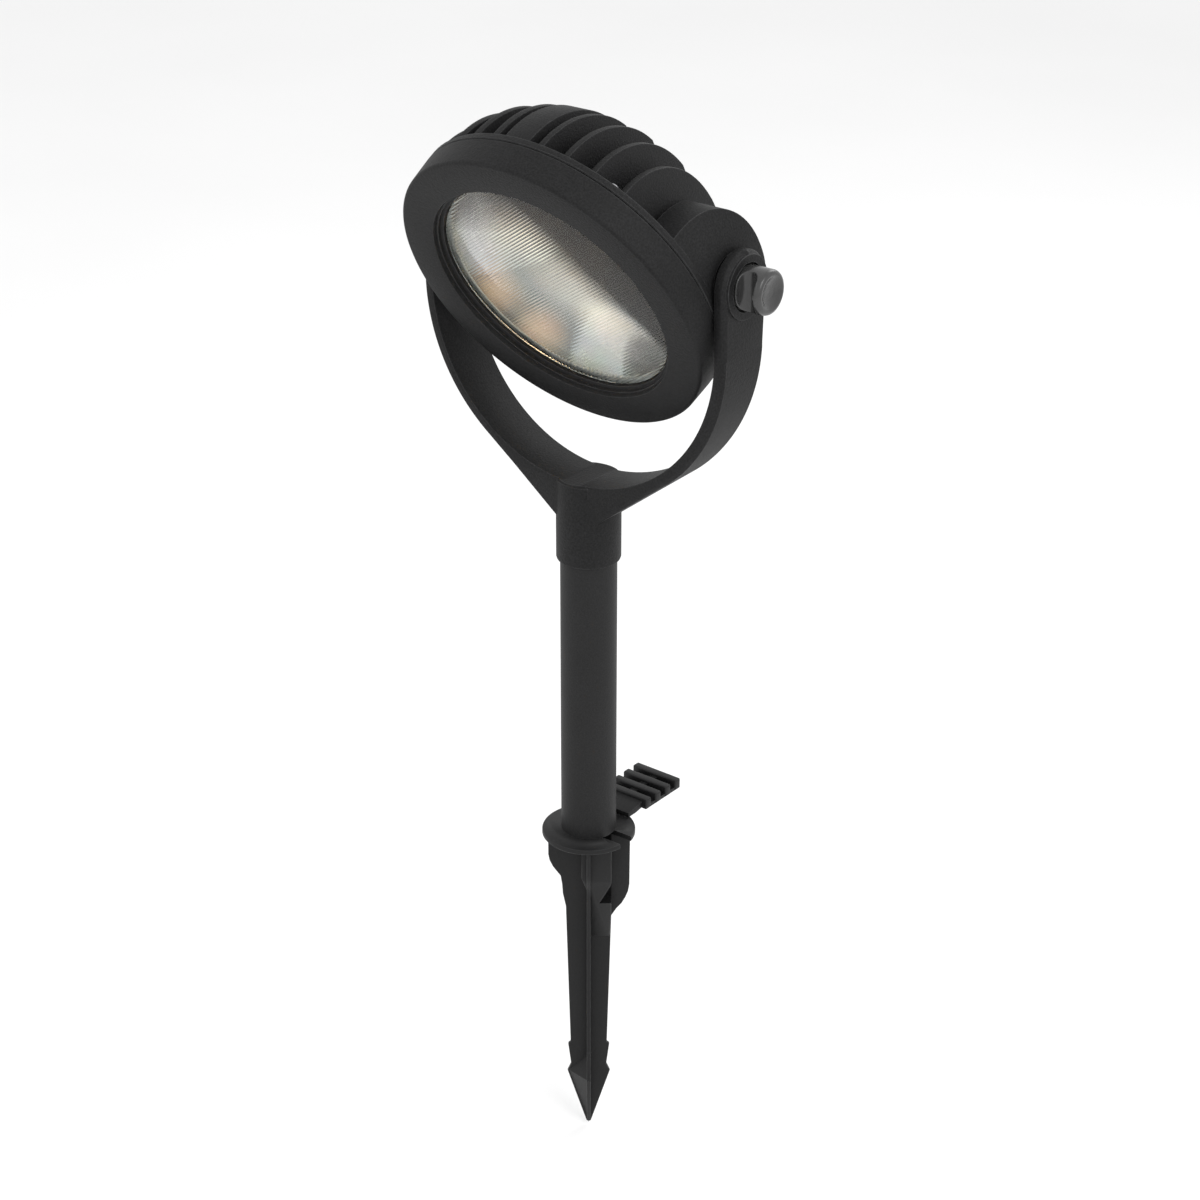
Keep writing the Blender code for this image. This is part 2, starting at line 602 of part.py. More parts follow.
def cable_gland(frame):
    """Cable inlet at the back: gland body, ribbed nut and sealing ring."""
    seat = BACK_Z
    body_side = [(0.0050, seat - GAP), (0.0085, seat - GAP), (0.0085, seat - 0.0060)]
    body_side += [(0.0066, seat - 0.0062), (0.0066, seat - 0.0150), (0.0050, seat - 0.0150)]
    make_part(turned("gland_body", body_side, 24, closed=True), PLASTIC, frame)
    nut_top = seat - 0.0066
    nut_side = [(0.0070, nut_top), (0.0092, nut_top), (0.0092, nut_top - 0.0100)]
    nut_side += [(0.0060, nut_top - 0.0140), (0.0040, nut_top - 0.0140)]
    nut_side += [(0.0040, nut_top - 0.0100), (0.0070, nut_top - 0.0096)]
    make_part(turned("gland_nut", nut_side, 16, closed=True), PLASTIC, frame, 10.0)
    seal_bottom = seat - 0.0150
    seal = ring_solid("gland_seal", 0.0026, 0.0047, seal_bottom + 0.0090, seal_bottom + 0.0010, 24)
    make_part(seal, RUBBER, frame)


def seals(frame):
    """Gasket between bezel and glass, and the seal between bezel and rim."""
    gasket_top = FACE_Z - 0.0077
    gasket = ring_solid("lens_gasket", 0.0553, 0.0605, gasket_top, gasket_top - 0.0005)
    make_part(gasket, RUBBER, frame)
    rim_top = FACE_Z - BEZEL_DEPTH - GAP
    seal = ring_solid("bezel_seal", 0.0627, 0.0642, rim_top, rim_top - 0.0012 + GAP)
    make_part(seal, RUBBER, frame)


def build():
    """Makes the whole object."""
    stake_frame = empty("stake_frame", (0, 0, 0), (0, 0, SPIKE_TURN))
    ground_spike(stake_frame)
    cable_comb()
    stem_tube()
    swivel_frame = empty("swivel_frame", (0, 0, 0))
    yoke(swivel_frame)
    grub_screw(swivel_frame)
    arm_frame = empty("arm_frame", (0, 0, PIVOT_Z))
    head_frame = empty("head_frame", (0, 0, PIVOT_Z), (pi / 2 + TILT, 0, 0))
    pivot_fittings(arm_frame, head_frame)
    wing_knob(arm_frame)
    front_bezel(head_frame)
    seals(head_frame)
    front_glass(head_frame)
    reflector(head_frame)
    led_parts(head_frame)
    heat_sink_housing(head_frame)
    rim_screws(head_frame)
    cable_gland(head_frame)


build()
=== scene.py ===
"""Garden light projector on a ground stake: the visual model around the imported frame.

Everything is in metres.  The stake's axis is Z, the head tilts about an axis along X, and the
lamp faces -Y and downwards.
"""

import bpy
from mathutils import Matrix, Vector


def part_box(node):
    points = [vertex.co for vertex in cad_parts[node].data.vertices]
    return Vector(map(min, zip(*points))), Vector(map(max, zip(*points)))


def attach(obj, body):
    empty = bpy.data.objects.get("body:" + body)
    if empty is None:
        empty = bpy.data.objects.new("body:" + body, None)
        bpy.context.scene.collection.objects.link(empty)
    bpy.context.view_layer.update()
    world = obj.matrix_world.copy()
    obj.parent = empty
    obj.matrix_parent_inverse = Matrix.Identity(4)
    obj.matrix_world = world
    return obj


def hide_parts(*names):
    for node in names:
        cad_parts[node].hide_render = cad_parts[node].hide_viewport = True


bl_info = {
    "name": "Garden Projector Stake",
    "version": (1, 0, 0),
    "blender": (4, 5, 0),
    "location": "3D View > Sidebar > Projector",
    "description": "Models a garden light projector on a ground stake, piece by piece",
    "category": "Add Mesh",
}

from math import asin, cos, pi, radians, sin, sqrt

import bpy
from bpy.props import FloatProperty, FloatVectorProperty, IntProperty, PointerProperty
from mathutils import Matrix, Vector

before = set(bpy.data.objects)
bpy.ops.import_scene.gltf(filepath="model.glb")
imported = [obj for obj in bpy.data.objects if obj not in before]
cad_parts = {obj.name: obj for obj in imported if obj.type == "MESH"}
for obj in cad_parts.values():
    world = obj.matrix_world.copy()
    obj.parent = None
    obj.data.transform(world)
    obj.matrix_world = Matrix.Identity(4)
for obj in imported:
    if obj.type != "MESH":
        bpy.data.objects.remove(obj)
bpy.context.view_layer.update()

TUBE_LOW, TUBE_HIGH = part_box("stem_tube")
YOKE_LOW, YOKE_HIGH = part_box("yoke")
STAKE_LOW, STAKE_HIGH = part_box("ground_spike")
POINT_TOP = -0.1323

HUB_BOTTOM = YOKE_LOW.z
ARM_OUTSIDE = YOKE_HIGH.x - 0.0008
MERGE = 0.00001


# ---------------------------------------------------------------- sizes and colours
class ProjectorHeadSizes(bpy.types.PropertyGroup):
    """Sizes of the lamp head."""

    pivot_height: FloatProperty(
        name="Pivot height", description="Height of the tilt axis", default=0.2790, unit="LENGTH"
    )
    tilt: FloatProperty(
        name="Tilt", description="How far the lamp faces down", default=radians(29.0), unit="ROTATION"
    )
    face: FloatProperty(
        name="Face", description="Front of the bezel ahead of the tilt axis", default=0.0302, unit="LENGTH"
    )
    bezel_radius: FloatProperty(
        name="Bezel radius", description="Outside of the bezel at its front", default=0.0726, unit="LENGTH"
    )
    bezel_depth: FloatProperty(
        name="Bezel depth", description="Front to back of the bezel", default=0.0135, unit="LENGTH"
    )
    mouth_radius: FloatProperty(
        name="Mouth radius", description="Opening in the bezel's face", default=0.0572, unit="LENGTH"
    )
    glass_radius: FloatProperty(
        name="Glass radius", description="Radius of the glass disc", default=0.0612, unit="LENGTH"
    )
    rim_depth: FloatProperty(
        name="Rim depth", description="Housing rim behind the bezel", default=0.0034, unit="LENGTH"
    )
    back: FloatProperty(
        name="Back", description="Flat back of the fins from the tilt axis", default=-0.0323, unit="LENGTH"
    )
    fin_pitch: FloatProperty(
        name="Fin pitch", description="Distance from fin to fin", default=0.01155, unit="LENGTH"
    )
    fin_thickness: FloatProperty(
        name="Fin thickness", description="Thickness of one fin", default=0.0030, unit="LENGTH"
    )
    fin_count: IntProperty(name="Fins", description="Fins on each side of the middle rib", default=4, min=1)
    rib_width: FloatProperty(
        name="Rib width", description="Width of the middle rib", default=0.0125, unit="LENGTH"
    )


class ProjectorYokeSizes(bpy.types.PropertyGroup):
    """Sizes of the bowl-shaped yoke."""

    ring_height: FloatProperty(
        name="Ring height", description="Centre of the round lower part", default=0.2515, unit="LENGTH"
    )
    ring_radius: FloatProperty(
        name="Ring radius", description="Inside radius of the bowl", default=0.0742, unit="LENGTH"
    )
    band: FloatProperty(name="Band", description="Thickness of the band", default=0.0052, unit="LENGTH")
    low_width: FloatProperty(
        name="Low width", description="Width of the band at its bottom", default=0.0228, unit="LENGTH"
    )
    arm_width: FloatProperty(
        name="Arm width", description="Width of the arms at the pivots", default=0.0300, unit="LENGTH"
    )
    gusset: FloatProperty(
        name="Gusset", description="Slope of the sides down to the hub", default=radians(37.6), unit="ROTATION"
    )
    hub_radius: FloatProperty(
        name="Hub radius", description="Radius of the hub", default=0.0142, unit="LENGTH"
    )
    hub_top: FloatProperty(name="Hub top", description="Top of the hub", default=0.1775, unit="LENGTH")
    chamfer: FloatProperty(
        name="Chamfer", description="Flat along the outer edges of the arms", default=0.0024, unit="LENGTH"
    )


class ProjectorKnobSizes(bpy.types.PropertyGroup):
    """Sizes of the hand knob."""

    radius: FloatProperty(name="Radius", description="Radius of the knob", default=0.0094, unit="LENGTH")
    length: FloatProperty(name="Length", description="Length of the grip", default=0.0122, unit="LENGTH")
    recess: FloatProperty(
        name="Recess", description="Depth of the round recess in the arm", default=0.0012, unit="LENGTH"
    )


class ProjectorStakeSizes(bpy.types.PropertyGroup):
    """Sizes of the stake, tube and comb."""

    tube_radius: FloatProperty(
        name="Tube radius", description="Radius of the tube", default=TUBE_HIGH.x, unit="LENGTH"
    )
    tube_wall: FloatProperty(
        name="Tube wall", description="Thickness of the tube", default=0.0015, unit="LENGTH"
    )
    turn: FloatProperty(
        name="Turn", description="Angle of the blades to the yoke", default=radians(38.0), unit="ROTATION"
    )
    depth: FloatProperty(
        name="Depth", description="Length of the stake below the flange", default=-STAKE_LOW.z, unit="LENGTH"
    )
    blade: FloatProperty(name="Blade", description="Thickness of a blade", default=0.0018, unit="LENGTH")
    flange_radius: FloatProperty(
        name="Flange radius", description="Radius of the flange", default=0.0213, unit="LENGTH"
    )


class ProjectorColours(bpy.types.PropertyGroup):
    """Colours of the finishes."""

    coat: FloatVectorProperty(
        name="Coat", description="Fine textured coat on the castings", default=(0.0105, 0.0105, 0.0108),
        size=3, min=0.0, max=1.0, subtype="COLOR",
    )
    plastic: FloatVectorProperty(
        name="Plastic", description="Moulded plastic of the stake", default=(0.0085, 0.0085, 0.0088),
        size=3, min=0.0, max=1.0, subtype="COLOR",
    )
    glow: FloatVectorProperty(
        name="Glow", description="Light of the lamp", default=(1.0, 0.62, 0.28),
        size=3, min=0.0, max=1.0, subtype="COLOR",
    )


# ---------------------------------------------------------------- modelling by hand
def nothing_selected():
    """Leaves edit mode and clears the selection."""
    if bpy.context.mode != "OBJECT":
        bpy.ops.object.mode_set(mode="OBJECT")
    bpy.ops.object.select_all(action="DESELECT")


def only(piece):
    """Makes one object the selected and active one."""
    nothing_selected()
    piece.select_set(True)
    bpy.context.view_layer.objects.active = piece


def first_point(name, place):
    """A new object in edit mode with one point, ready for an outline."""
    nothing_selected()
    bpy.ops.mesh.primitive_plane_add(size=0.01, location=(0.0, 0.0, 0.0))
    piece = bpy.context.object
    piece.name = name
    piece.data.name = name
    bpy.ops.object.mode_set(mode="EDIT")
    bpy.ops.mesh.select_all(action="SELECT")
    bpy.ops.mesh.merge(type="CENTER")
    bpy.ops.transform.translate(value=place)
    return piece


def draw(name, points):
    """Draws a line of edges by extruding from point to point."""
    piece = first_point(name, points[0])
    for here, there in zip(points, points[1:]):
        step = Vector(there) - Vector(here)
        bpy.ops.mesh.extrude_vertices_move(TRANSFORM_OT_translate={"value": step})
    bpy.ops.mesh.select_all(action="SELECT")
    return piece


def tidy_mesh():
    """In edit mode: closes seams and poles and turns the faces outwards."""
    bpy.ops.mesh.select_all(action="SELECT")
    bpy.ops.mesh.remove_doubles(threshold=MERGE)
    bpy.ops.mesh.normals_make_consistent(inside=False)
    bpy.ops.object.mode_set(mode="OBJECT")


def spun(name, profile, steps, closed=True):
    """A turned shape: (radius, height) points spun about Z."""
    line = list(profile)
    if closed:
        line.append(line[0])
    piece = draw(name, [(radius, 0.0, height) for radius, height in line])
    bpy.ops.mesh.remove_doubles(threshold=MERGE)
    bpy.ops.mesh.select_all(action="SELECT")
    bpy.ops.mesh.spin(steps=steps, angle=2 * pi, center=(0, 0, 0), axis=(0, 0, 1))
    tidy_mesh()
    return piece


def plate(name, outline, push):
    """A plate: an outline closed to a face and extruded by a vector."""
    piece = draw(name, list(outline) + [outline[0]])
    bpy.ops.mesh.remove_doubles(threshold=MERGE)
    bpy.ops.mesh.select_all(action="SELECT")
    bpy.ops.mesh.edge_face_add()
    bpy.ops.mesh.extrude_region_move(TRANSFORM_OT_translate={"value": push})
    tidy_mesh()
    return piece


def plate_across(name, outline, x, thickness):
    """A plate square to X from an outline of (y, z) points."""
    return plate(name, [(x - thickness / 2, y, z) for y, z in outline], (thickness, 0, 0))


def plate_along(name, outline, y, thickness):
    """A plate square to Y from an outline of (x, z) points."""
    return plate(name, [(x, y - thickness / 2, z) for x, z in outline], (0, thickness, 0))


def apply_modifier(piece, kind, **settings):
    """Adds a modifier, sets it and applies it."""
    only(piece)
    step = piece.modifiers.new(kind.lower(), kind)
    for name, value in settings.items():
        setattr(step, name, value)
    bpy.ops.object.modifier_apply(modifier=step.name)


def soften(piece, width, segments=2, angle=30.0):
    """Rounds the sharp edges of a piece."""
    apply_modifier(
        piece,
        "BEVEL",
        width=width,
        segments=segments,
        limit_method="ANGLE",
        angle_limit=radians(angle),
        use_clamp_overlap=False,
        miter_outer="MITER_ARC" if segments > 1 else "MITER_SHARP",
    )


def boolean(piece, others, operation):
    """Joins, cuts or intersects a piece with others, and removes them."""
    for other in others:
        apply_modifier(piece, "BOOLEAN", operation=operation, solver="EXACT", object=other)
        bpy.data.objects.remove(other, do_unlink=True)
    return piece


def rod(name, radius, start, end, steps=32, end_radius=None):
    """A cylinder or cone from one point to another, closed by its end faces."""
    start = Vector(start)
    end = Vector(end)
    nothing_selected()
    bpy.ops.mesh.primitive_cone_add(
        vertices=steps,
        radius1=radius,
        radius2=radius if end_radius is None else end_radius,
        depth=(end - start).length,
        location=(start + end) / 2,
        rotation=(end - start).to_track_quat("Z", "Y").to_euler(),
    )
    piece = bpy.context.object
    piece.name = name
    piece.data.name = name
    bpy.ops.object.transform_apply(location=True, rotation=True, scale=True)
    return piece


def block(name, size, centre, turn=0.0):
    """A box about a centre, turned about Z."""
    nothing_selected()
    bpy.ops.mesh.primitive_cube_add(size=1.0, location=centre, rotation=(0, 0, turn))
    piece = bpy.context.object
    piece.name = name
    piece.data.name = name
    piece.scale = size
    bpy.ops.object.transform_apply(location=True, rotation=True, scale=True)
    return piece


def put(piece, place):
    """Moves a piece to its place and keeps the place in its mesh."""
    only(piece)
    piece.matrix_world = place @ piece.matrix_world
    bpy.ops.object.transform_apply(location=True, rotation=True, scale=True)


def join(piece, others):
    """Makes one object of several closed shapes that only touch."""
    only(piece)
    for other in others:
        other.select_set(True)
    bpy.ops.object.join()
    return piece


def finish_piece(piece, body, finish, nodes=(), angle=32.0, flat=False):
    """Shades a piece, gives it its finish, and puts it on its body."""
    only(piece)
    if flat:
        bpy.ops.object.shade_flat()
    else:
        bpy.ops.object.shade_smooth_by_angle(angle=radians(angle))
    piece.data.materials.clear()
    piece.data.materials.append(bpy.data.materials[finish])
    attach(piece, body)
    if nodes:
        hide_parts(*nodes)
    nothing_selected()


def arc(radius, first, last, count, centre=(0.0, 0.0)):
    """Points along an arc, both ends included; angles in radians."""
    points = []
    for index in range(count + 1):
        angle = first + (last - first) * index / count
        points.append((centre[0] + radius * cos(angle), centre[1] + radius * sin(angle)))
    return points


def head_place():
    """The head's frame: X along the tilt axis and Z out of the lamp's face."""
    head = bpy.context.scene.projector_head
    return Matrix.Translation((0, 0, head.pivot_height)) @ Matrix.Rotation(pi / 2 + head.tilt, 4, "X")


def pivot_place():
    """The pivot's frame on the yoke."""
    return Matrix.Translation((0, 0, bpy.context.scene.projector_head.pivot_height))


ALONG_X = Matrix.Rotation(pi / 2, 4, "Y")


def socket_head(name, radius, depth, across, start, end, shaft):
    """A socket head screw along Z: a domed head from start to end with a hexagon, on a shaft."""
    way = 1 if end > start else -1
    soft = way * depth * 0.2
    profile = [(0.0, start), (radius, start), (radius, end - 2 * soft), (radius * 0.93, end - 0.6 * soft)]
    profile += [(radius * 0.78, end), (across * 1.25, end), (across * 1.18, end - 0.15 * soft), (0.0, end - 0.15 * soft)]
    screw = spun(name, profile, 40, closed=False)
    hexagon = rod("hexagon", across, (0, 0, end - way * depth * 0.6), (0, 0, end + way * depth), 6)
    stem = rod("stem", shaft[0], (0, 0, start + way * 0.0002), (0, 0, shaft[1]), 24)
    boolean(screw, [stem], "UNION")
    return boolean(screw, [hexagon], "DIFFERENCE")


# ---------------------------------------------------------------- finishes
def add_node(tree, kind, **settings):
    """A node with its settings."""
    made = tree.nodes.new(kind)
    for name, value in settings.items():
        setattr(made, name, value)
    return made


def shown(sockets, label):
    """The socket in use with that name, or by number."""
    if isinstance(label, int):
        return sockets[label]
    return next(socket for socket in sockets if socket.name == label and socket.enabled)


def wire(tree, values):
    """Sets or links sockets: (node, input name or number, value or output socket)."""
    for target, label, value in values:
        socket = shown(target.inputs, label)
        if isinstance(value, bpy.types.NodeSocket):
            tree.links.new(value, socket)
        else:
            socket.default_value = value


def new_group(name, inputs, outputs):
    """A shader node group with named sockets."""
    tree = bpy.data.node_groups.new(name, "ShaderNodeTree")
    for label, kind, value in inputs:
        socket = tree.interface.new_socket(label, in_out="INPUT", socket_type=kind)
        socket.default_value = value
    for label, kind in outputs:
        tree.interface.new_socket(label, in_out="OUTPUT", socket_type=kind)
    return tree, tree.nodes.new("NodeGroupInput"), tree.nodes.new("NodeGroupOutput")


def grain_group():
    """Fine speckled skin: tone, gloss and height vary from grain to grain and patch to patch."""
    tree, given, result = new_group(
        "Speckled Skin",
        [
            ("Colour", "NodeSocketColor", (0.03, 0.03, 0.03, 1.0)),
            ("Speck Scale", "NodeSocketFloat", 1600.0),
            ("Speck Tone", "NodeSocketFloat", 0.35),
            ("Patch Scale", "NodeSocketFloat", 45.0),
            ("Patch Tone", "NodeSocketFloat", 0.18),
            ("Roughness", "NodeSocketFloat", 0.5),
        ],
        [("Colour", "NodeSocketColor"), ("Roughness", "NodeSocketFloat"), ("Height", "NodeSocketFloat")],
    )
    place = add_node(tree, "ShaderNodeTexCoord")
    speck = add_node(tree, "ShaderNodeTexNoise")
    pebble = add_node(tree, "ShaderNodeTexVoronoi", feature="SMOOTH_F1")
    patch = add_node(tree, "ShaderNodeTexNoise")
    pebble_scale = add_node(tree, "ShaderNodeMath", operation="MULTIPLY")
    speck_span = add_node(tree, "ShaderNodeMapRange")
    patch_span = add_node(tree, "ShaderNodeMapRange")
    both = add_node(tree, "ShaderNodeMath", operation="MULTIPLY")
    tint = add_node(tree, "ShaderNodeVectorMath", operation="SCALE")
    height = add_node(tree, "ShaderNodeMath", operation="MULTIPLY_ADD")
    gloss = add_node(tree, "ShaderNodeMath", operation="MULTIPLY_ADD")
    low_speck = add_node(tree, "ShaderNodeMath", operation="SUBTRACT")
    high_speck = add_node(tree, "ShaderNodeMath", operation="ADD")
    low_patch = add_node(tree, "ShaderNodeMath", operation="SUBTRACT")
    high_patch = add_node(tree, "ShaderNodeMath", operation="ADD")
    wire(tree, [
        (speck, "Vector", place.outputs["Object"]),
        (speck, "Scale", given.outputs["Speck Scale"]),
        (speck, "Detail", 3.0),
        (speck, "Roughness", 0.65),
        (pebble_scale, 0, given.outputs["Speck Scale"]),
        (pebble_scale, 1, 0.8),
        (pebble, "Vector", place.outputs["Object"]),
        (pebble, "Scale", pebble_scale.outputs[0]),
        (pebble, "Smoothness", 0.6),
        (patch, "Vector", place.outputs["Object"]),
        (patch, "Scale", given.outputs["Patch Scale"]),
        (patch, "Detail", 4.0),
        (low_speck, 0, 1.0),
        (low_speck, 1, given.outputs["Speck Tone"]),
        (high_speck, 0, 1.0),
        (high_speck, 1, given.outputs["Speck Tone"]),
        (low_patch, 0, 1.0),
        (low_patch, 1, given.outputs["Patch Tone"]),
        (high_patch, 0, 1.0),
        (high_patch, 1, given.outputs["Patch Tone"]),
        (speck_span, "Value", speck.outputs["Fac"]),
        (speck_span, "From Min", 0.3),
        (speck_span, "From Max", 0.7),
        (speck_span, "To Min", low_speck.outputs[0]),
        (speck_span, "To Max", high_speck.outputs[0]),
        (patch_span, "Value", patch.outputs["Fac"]),
        (patch_span, "From Min", 0.3),
        (patch_span, "From Max", 0.7),
        (patch_span, "To Min", low_patch.outputs[0]),
        (patch_span, "To Max", high_patch.outputs[0]),
        (both, 0, speck_span.outputs[0]),
        (both, 1, patch_span.outputs[0]),
        (tint, 0, given.outputs["Colour"]),
        (tint, "Scale", both.outputs[0]),
        (height, 0, pebble.outputs["Distance"]),
        (height, 1, -0.7),
        (height, 2, speck.outputs["Fac"]),
        (gloss, 0, patch.outputs["Fac"]),
        (gloss, 1, 0.16),
        (gloss, 2, given.outputs["Roughness"]),
        (result, "Colour", tint.outputs[0]),
        (result, "Roughness", gloss.outputs[0]),
        (result, "Height", height.outputs[0]),
    ])
    return tree


def edge_wear_highlight_group():
    """Mask of the outer edges, partly wear where the finish is thinner and lighter, and partly a painted highlight
    for the light that rounded edges catch.
    """
    tree, given, result = new_group(
        "Edge Wear And Highlight",
        [("Reach", "NodeSocketFloat", 0.0008), ("Amount", "NodeSocketFloat", 1.0)],
        [("Mask", "NodeSocketFloat")],
    )
    rounded = add_node(tree, "ShaderNodeBevel", samples=6)
    shape = add_node(tree, "ShaderNodeNewGeometry")
    place = add_node(tree, "ShaderNodeTexCoord")
    agree = add_node(tree, "ShaderNodeVectorMath", operation="DOT_PRODUCT")
    span = add_node(tree, "ShaderNodeMapRange")
    outer = add_node(tree, "ShaderNodeMapRange")
    broken = add_node(tree, "ShaderNodeTexNoise")
    gaps = add_node(tree, "ShaderNodeMapRange")
    edge_wear_and_light = add_node(tree, "ShaderNodeMath", operation="MULTIPLY")
    outside = add_node(tree, "ShaderNodeMath", operation="MULTIPLY")
    scaled = add_node(tree, "ShaderNodeMath", operation="MULTIPLY")
    wire(tree, [
        (rounded, "Radius", given.outputs["Reach"]),
        (agree, 0, rounded.outputs["Normal"]),
        (agree, 1, shape.outputs["Normal"]),
        (span, "Value", agree.outputs["Value"]),
        (span, "From Min", 0.995),
        (span, "From Max", 0.86),
        (outer, "Value", shape.outputs["Pointiness"]),
        (outer, "From Min", 0.485),
        (outer, "From Max", 0.51),
        (broken, "Vector", place.outputs["Object"]),
        (broken, "Scale", 240.0),
        (broken, "Detail", 4.0),
        (gaps, "Value", broken.outputs["Fac"]),
        (gaps, "From Min", 0.32),
        (gaps, "From Max", 0.62),
        (gaps, "To Min", 0.45),
        (edge_wear_and_light, 0, span.outputs[0]),
        (edge_wear_and_light, 1, gaps.outputs[0]),
        (outside, 0, edge_wear_and_light.outputs[0]),
        (outside, 1, outer.outputs[0]),
        (scaled, 0, outside.outputs[0]),
        (scaled, 1, given.outputs["Amount"]),
        (result, "Mask", scaled.outputs[0]),
    ])
    return tree


def place_group(tree, group, values):
    """Places a node group in a material with its own values."""
    made = add_node(tree, "ShaderNodeGroup", node_tree=bpy.data.node_groups[group])
    wire(tree, [(made, name, value) for name, value in values.items()])
    return made


def new_finish(name):
    """A new node material and its shader."""
    finish = bpy.data.materials.new(name)
    finish.use_nodes = True
    return finish.node_tree, finish.node_tree.nodes["Principled BSDF"]


def coated_finish(name, colour, speck, depth, edge, constants, roughness=0.5, speck_tone=0.3, patch_tone=0.15):
    """A dark finish with a speckled skin, and lighter edges that are partly wear and partly painted highlight."""
    tree, shader = new_finish(name)
    skin = place_group(tree, "Speckled Skin", {
        "Colour": (*colour, 1.0), "Speck Scale": speck, "Speck Tone": speck_tone,
        "Patch Tone": patch_tone, "Roughness": roughness,
    })
    # Partly wear and partly painted highlight: the edge mask lightens the finish along outer edges.
    edges = place_group(tree, "Edge Wear And Highlight", {"Reach": edge[0], "Amount": edge[1]})
    wear_and_highlight = add_node(tree, "ShaderNodeMix", data_type="RGBA")
    bump = add_node(tree, "ShaderNodeBump")
    wire(tree, [
        (wear_and_highlight, "Factor", edges.outputs["Mask"]),
        (wear_and_highlight, "A", skin.outputs["Colour"]),
        (wear_and_highlight, "B", tuple(min(1.0, value * 4.5 + 0.03) for value in colour) + (1.0,)),
        (bump, "Height", skin.outputs["Height"]),
        (bump, "Distance", depth),
        (bump, "Strength", 1.0),
        (shader, "Base Color", shown(wear_and_highlight.outputs, "Result")),
        (shader, "Roughness", skin.outputs["Roughness"]),
        (shader, "Normal", bump.outputs["Normal"]),
    ])
    for socket, value in constants.items():
        shader.inputs[socket].default_value = value


def build_finishes():
    """Builds the node groups and every finish."""
    colours = bpy.context.scene.projector_colours
    grain_group()
    edge_wear_highlight_group()
    coat = tuple(colours.coat)
    plastic = tuple(colours.plastic)
    coated_finish(
        "textured_coat", coat, 1300.0, 0.00012, (0.0007, 0.8), {"Specular IOR Level": 0.17}, 0.5, 0.55
    )
    coated_finish(
        "tube_coat", tuple(value * 1.05 for value in coat), 1700.0, 0.00006, (0.0006, 0.6),
        {"Specular IOR Level": 0.24}, 0.48, 0.4,
    )
    coated_finish(
        "moulded_plastic", plastic, 900.0, 0.00003, (0.0006, 0.7), {"Specular IOR Level": 0.24}, 0.4, 0.15
    )
    coated_finish(
        "seal_rubber", (0.012, 0.012, 0.012), 700.0, 0.00003, (0.0003, 0.3), {"Specular IOR Level": 0.3}, 0.7, 0.2
    )
    coated_finish(
        "gloss_knob", (0.030, 0.030, 0.030), 500.0, 0.00001, (0.0005, 0.5),
        {"Specular IOR Level": 0.6, "Coat Roughness": 0.12}, 0.16, 0.1,
    )
    coated_finish(
        "dark_washer", (0.022, 0.022, 0.022), 900.0, 0.00001, (0.0003, 0.3), {"Specular IOR Level": 0.4}, 0.3, 0.1
    )
    steel_finish()
    glass_finish()
    mirror_finish()
    rim_finish()
    lamp_finish(tuple(colours.glow))
    board_finish()


def steel_finish():
    """Turned stainless steel: a fine speckle and a varying gloss."""
    tree, shader = new_finish("turned_steel")
    skin = place_group(tree, "Speckled Skin", {
        "Colour": (0.36, 0.36, 0.37, 1.0), "Speck Scale": 2600.0, "Speck Tone": 0.12, "Roughness": 0.26,
    })
    # Partly wear and partly painted highlight: the edge mask lightens the steel along outer edges.
    edges = place_group(tree, "Edge Wear And Highlight", {"Reach": 0.0003, "Amount": 0.6})
    wear_and_highlight = add_node(tree, "ShaderNodeMix", data_type="RGBA")
    bump = add_node(tree, "ShaderNodeBump")
    wire(tree, [
        (wear_and_highlight, "Factor", edges.outputs["Mask"]),
        (wear_and_highlight, "A", skin.outputs["Colour"]),
        (wear_and_highlight, "B", (0.62, 0.62, 0.63, 1.0)),
        (bump, "Height", skin.outputs["Height"]),
        (bump, "Distance", 0.00001),
        (shader, "Base Color", shown(wear_and_highlight.outputs, "Result")),
        (shader, "Roughness", skin.outputs["Roughness"]),
        (shader, "Metallic", 1.0),
        (shader, "Normal", bump.outputs["Normal"]),
    ])


def glass_finish():
    """Clear toughened glass with fine parallel ribs, and painted shade in darker bands of tint along the ribs."""
    tree, shader = new_finish("ribbed_glass")
    place = add_node(tree, "ShaderNodeTexCoord")
    turn = add_node(tree, "ShaderNodeMapping")
    ribs = add_node(tree, "ShaderNodeTexWave", wave_type="BANDS", bands_direction="Y", wave_profile="SIN")
    smudge = add_node(tree, "ShaderNodeTexNoise")
    haze = add_node(tree, "ShaderNodeMapRange")
    tint = add_node(tree, "ShaderNodeMix", data_type="RGBA")
    bump = add_node(tree, "ShaderNodeBump")
    wire(tree, [
        (turn, "Vector", place.outputs["Object"]),
        (turn, "Rotation", (-radians(119.0), 0.0, -radians(35.6))),
        (ribs, "Vector", turn.outputs["Vector"]),
        (ribs, "Scale", 232.7),
        (ribs, "Distortion", 0.0),
        (smudge, "Vector", place.outputs["Object"]),
        (smudge, "Scale", 60.0),
        (haze, "Value", smudge.outputs["Fac"]),
        (haze, "To Min", 0.03),
        (haze, "To Max", 0.12),
        # Painted shade: the tint darkens in bands along the ribs, standing in for the dark and light lines the ribs
        # make.
        (tint, "Factor", ribs.outputs["Fac"]),
        (tint, "A", (0.80, 0.84, 0.82, 1.0)),
        (tint, "B", (1.0, 1.0, 1.0, 1.0)),
        (bump, "Height", ribs.outputs["Fac"]),
        (bump, "Distance", 0.00012),
        (bump, "Strength", 0.7),
        (shader, "Base Color", shown(tint.outputs, "Result")),
        (shader, "Roughness", haze.outputs[0]),
        (shader, "Normal", bump.outputs["Normal"]),
        (shader, "Transmission Weight", 1.0),
        (shader, "IOR", 1.45),
    ])


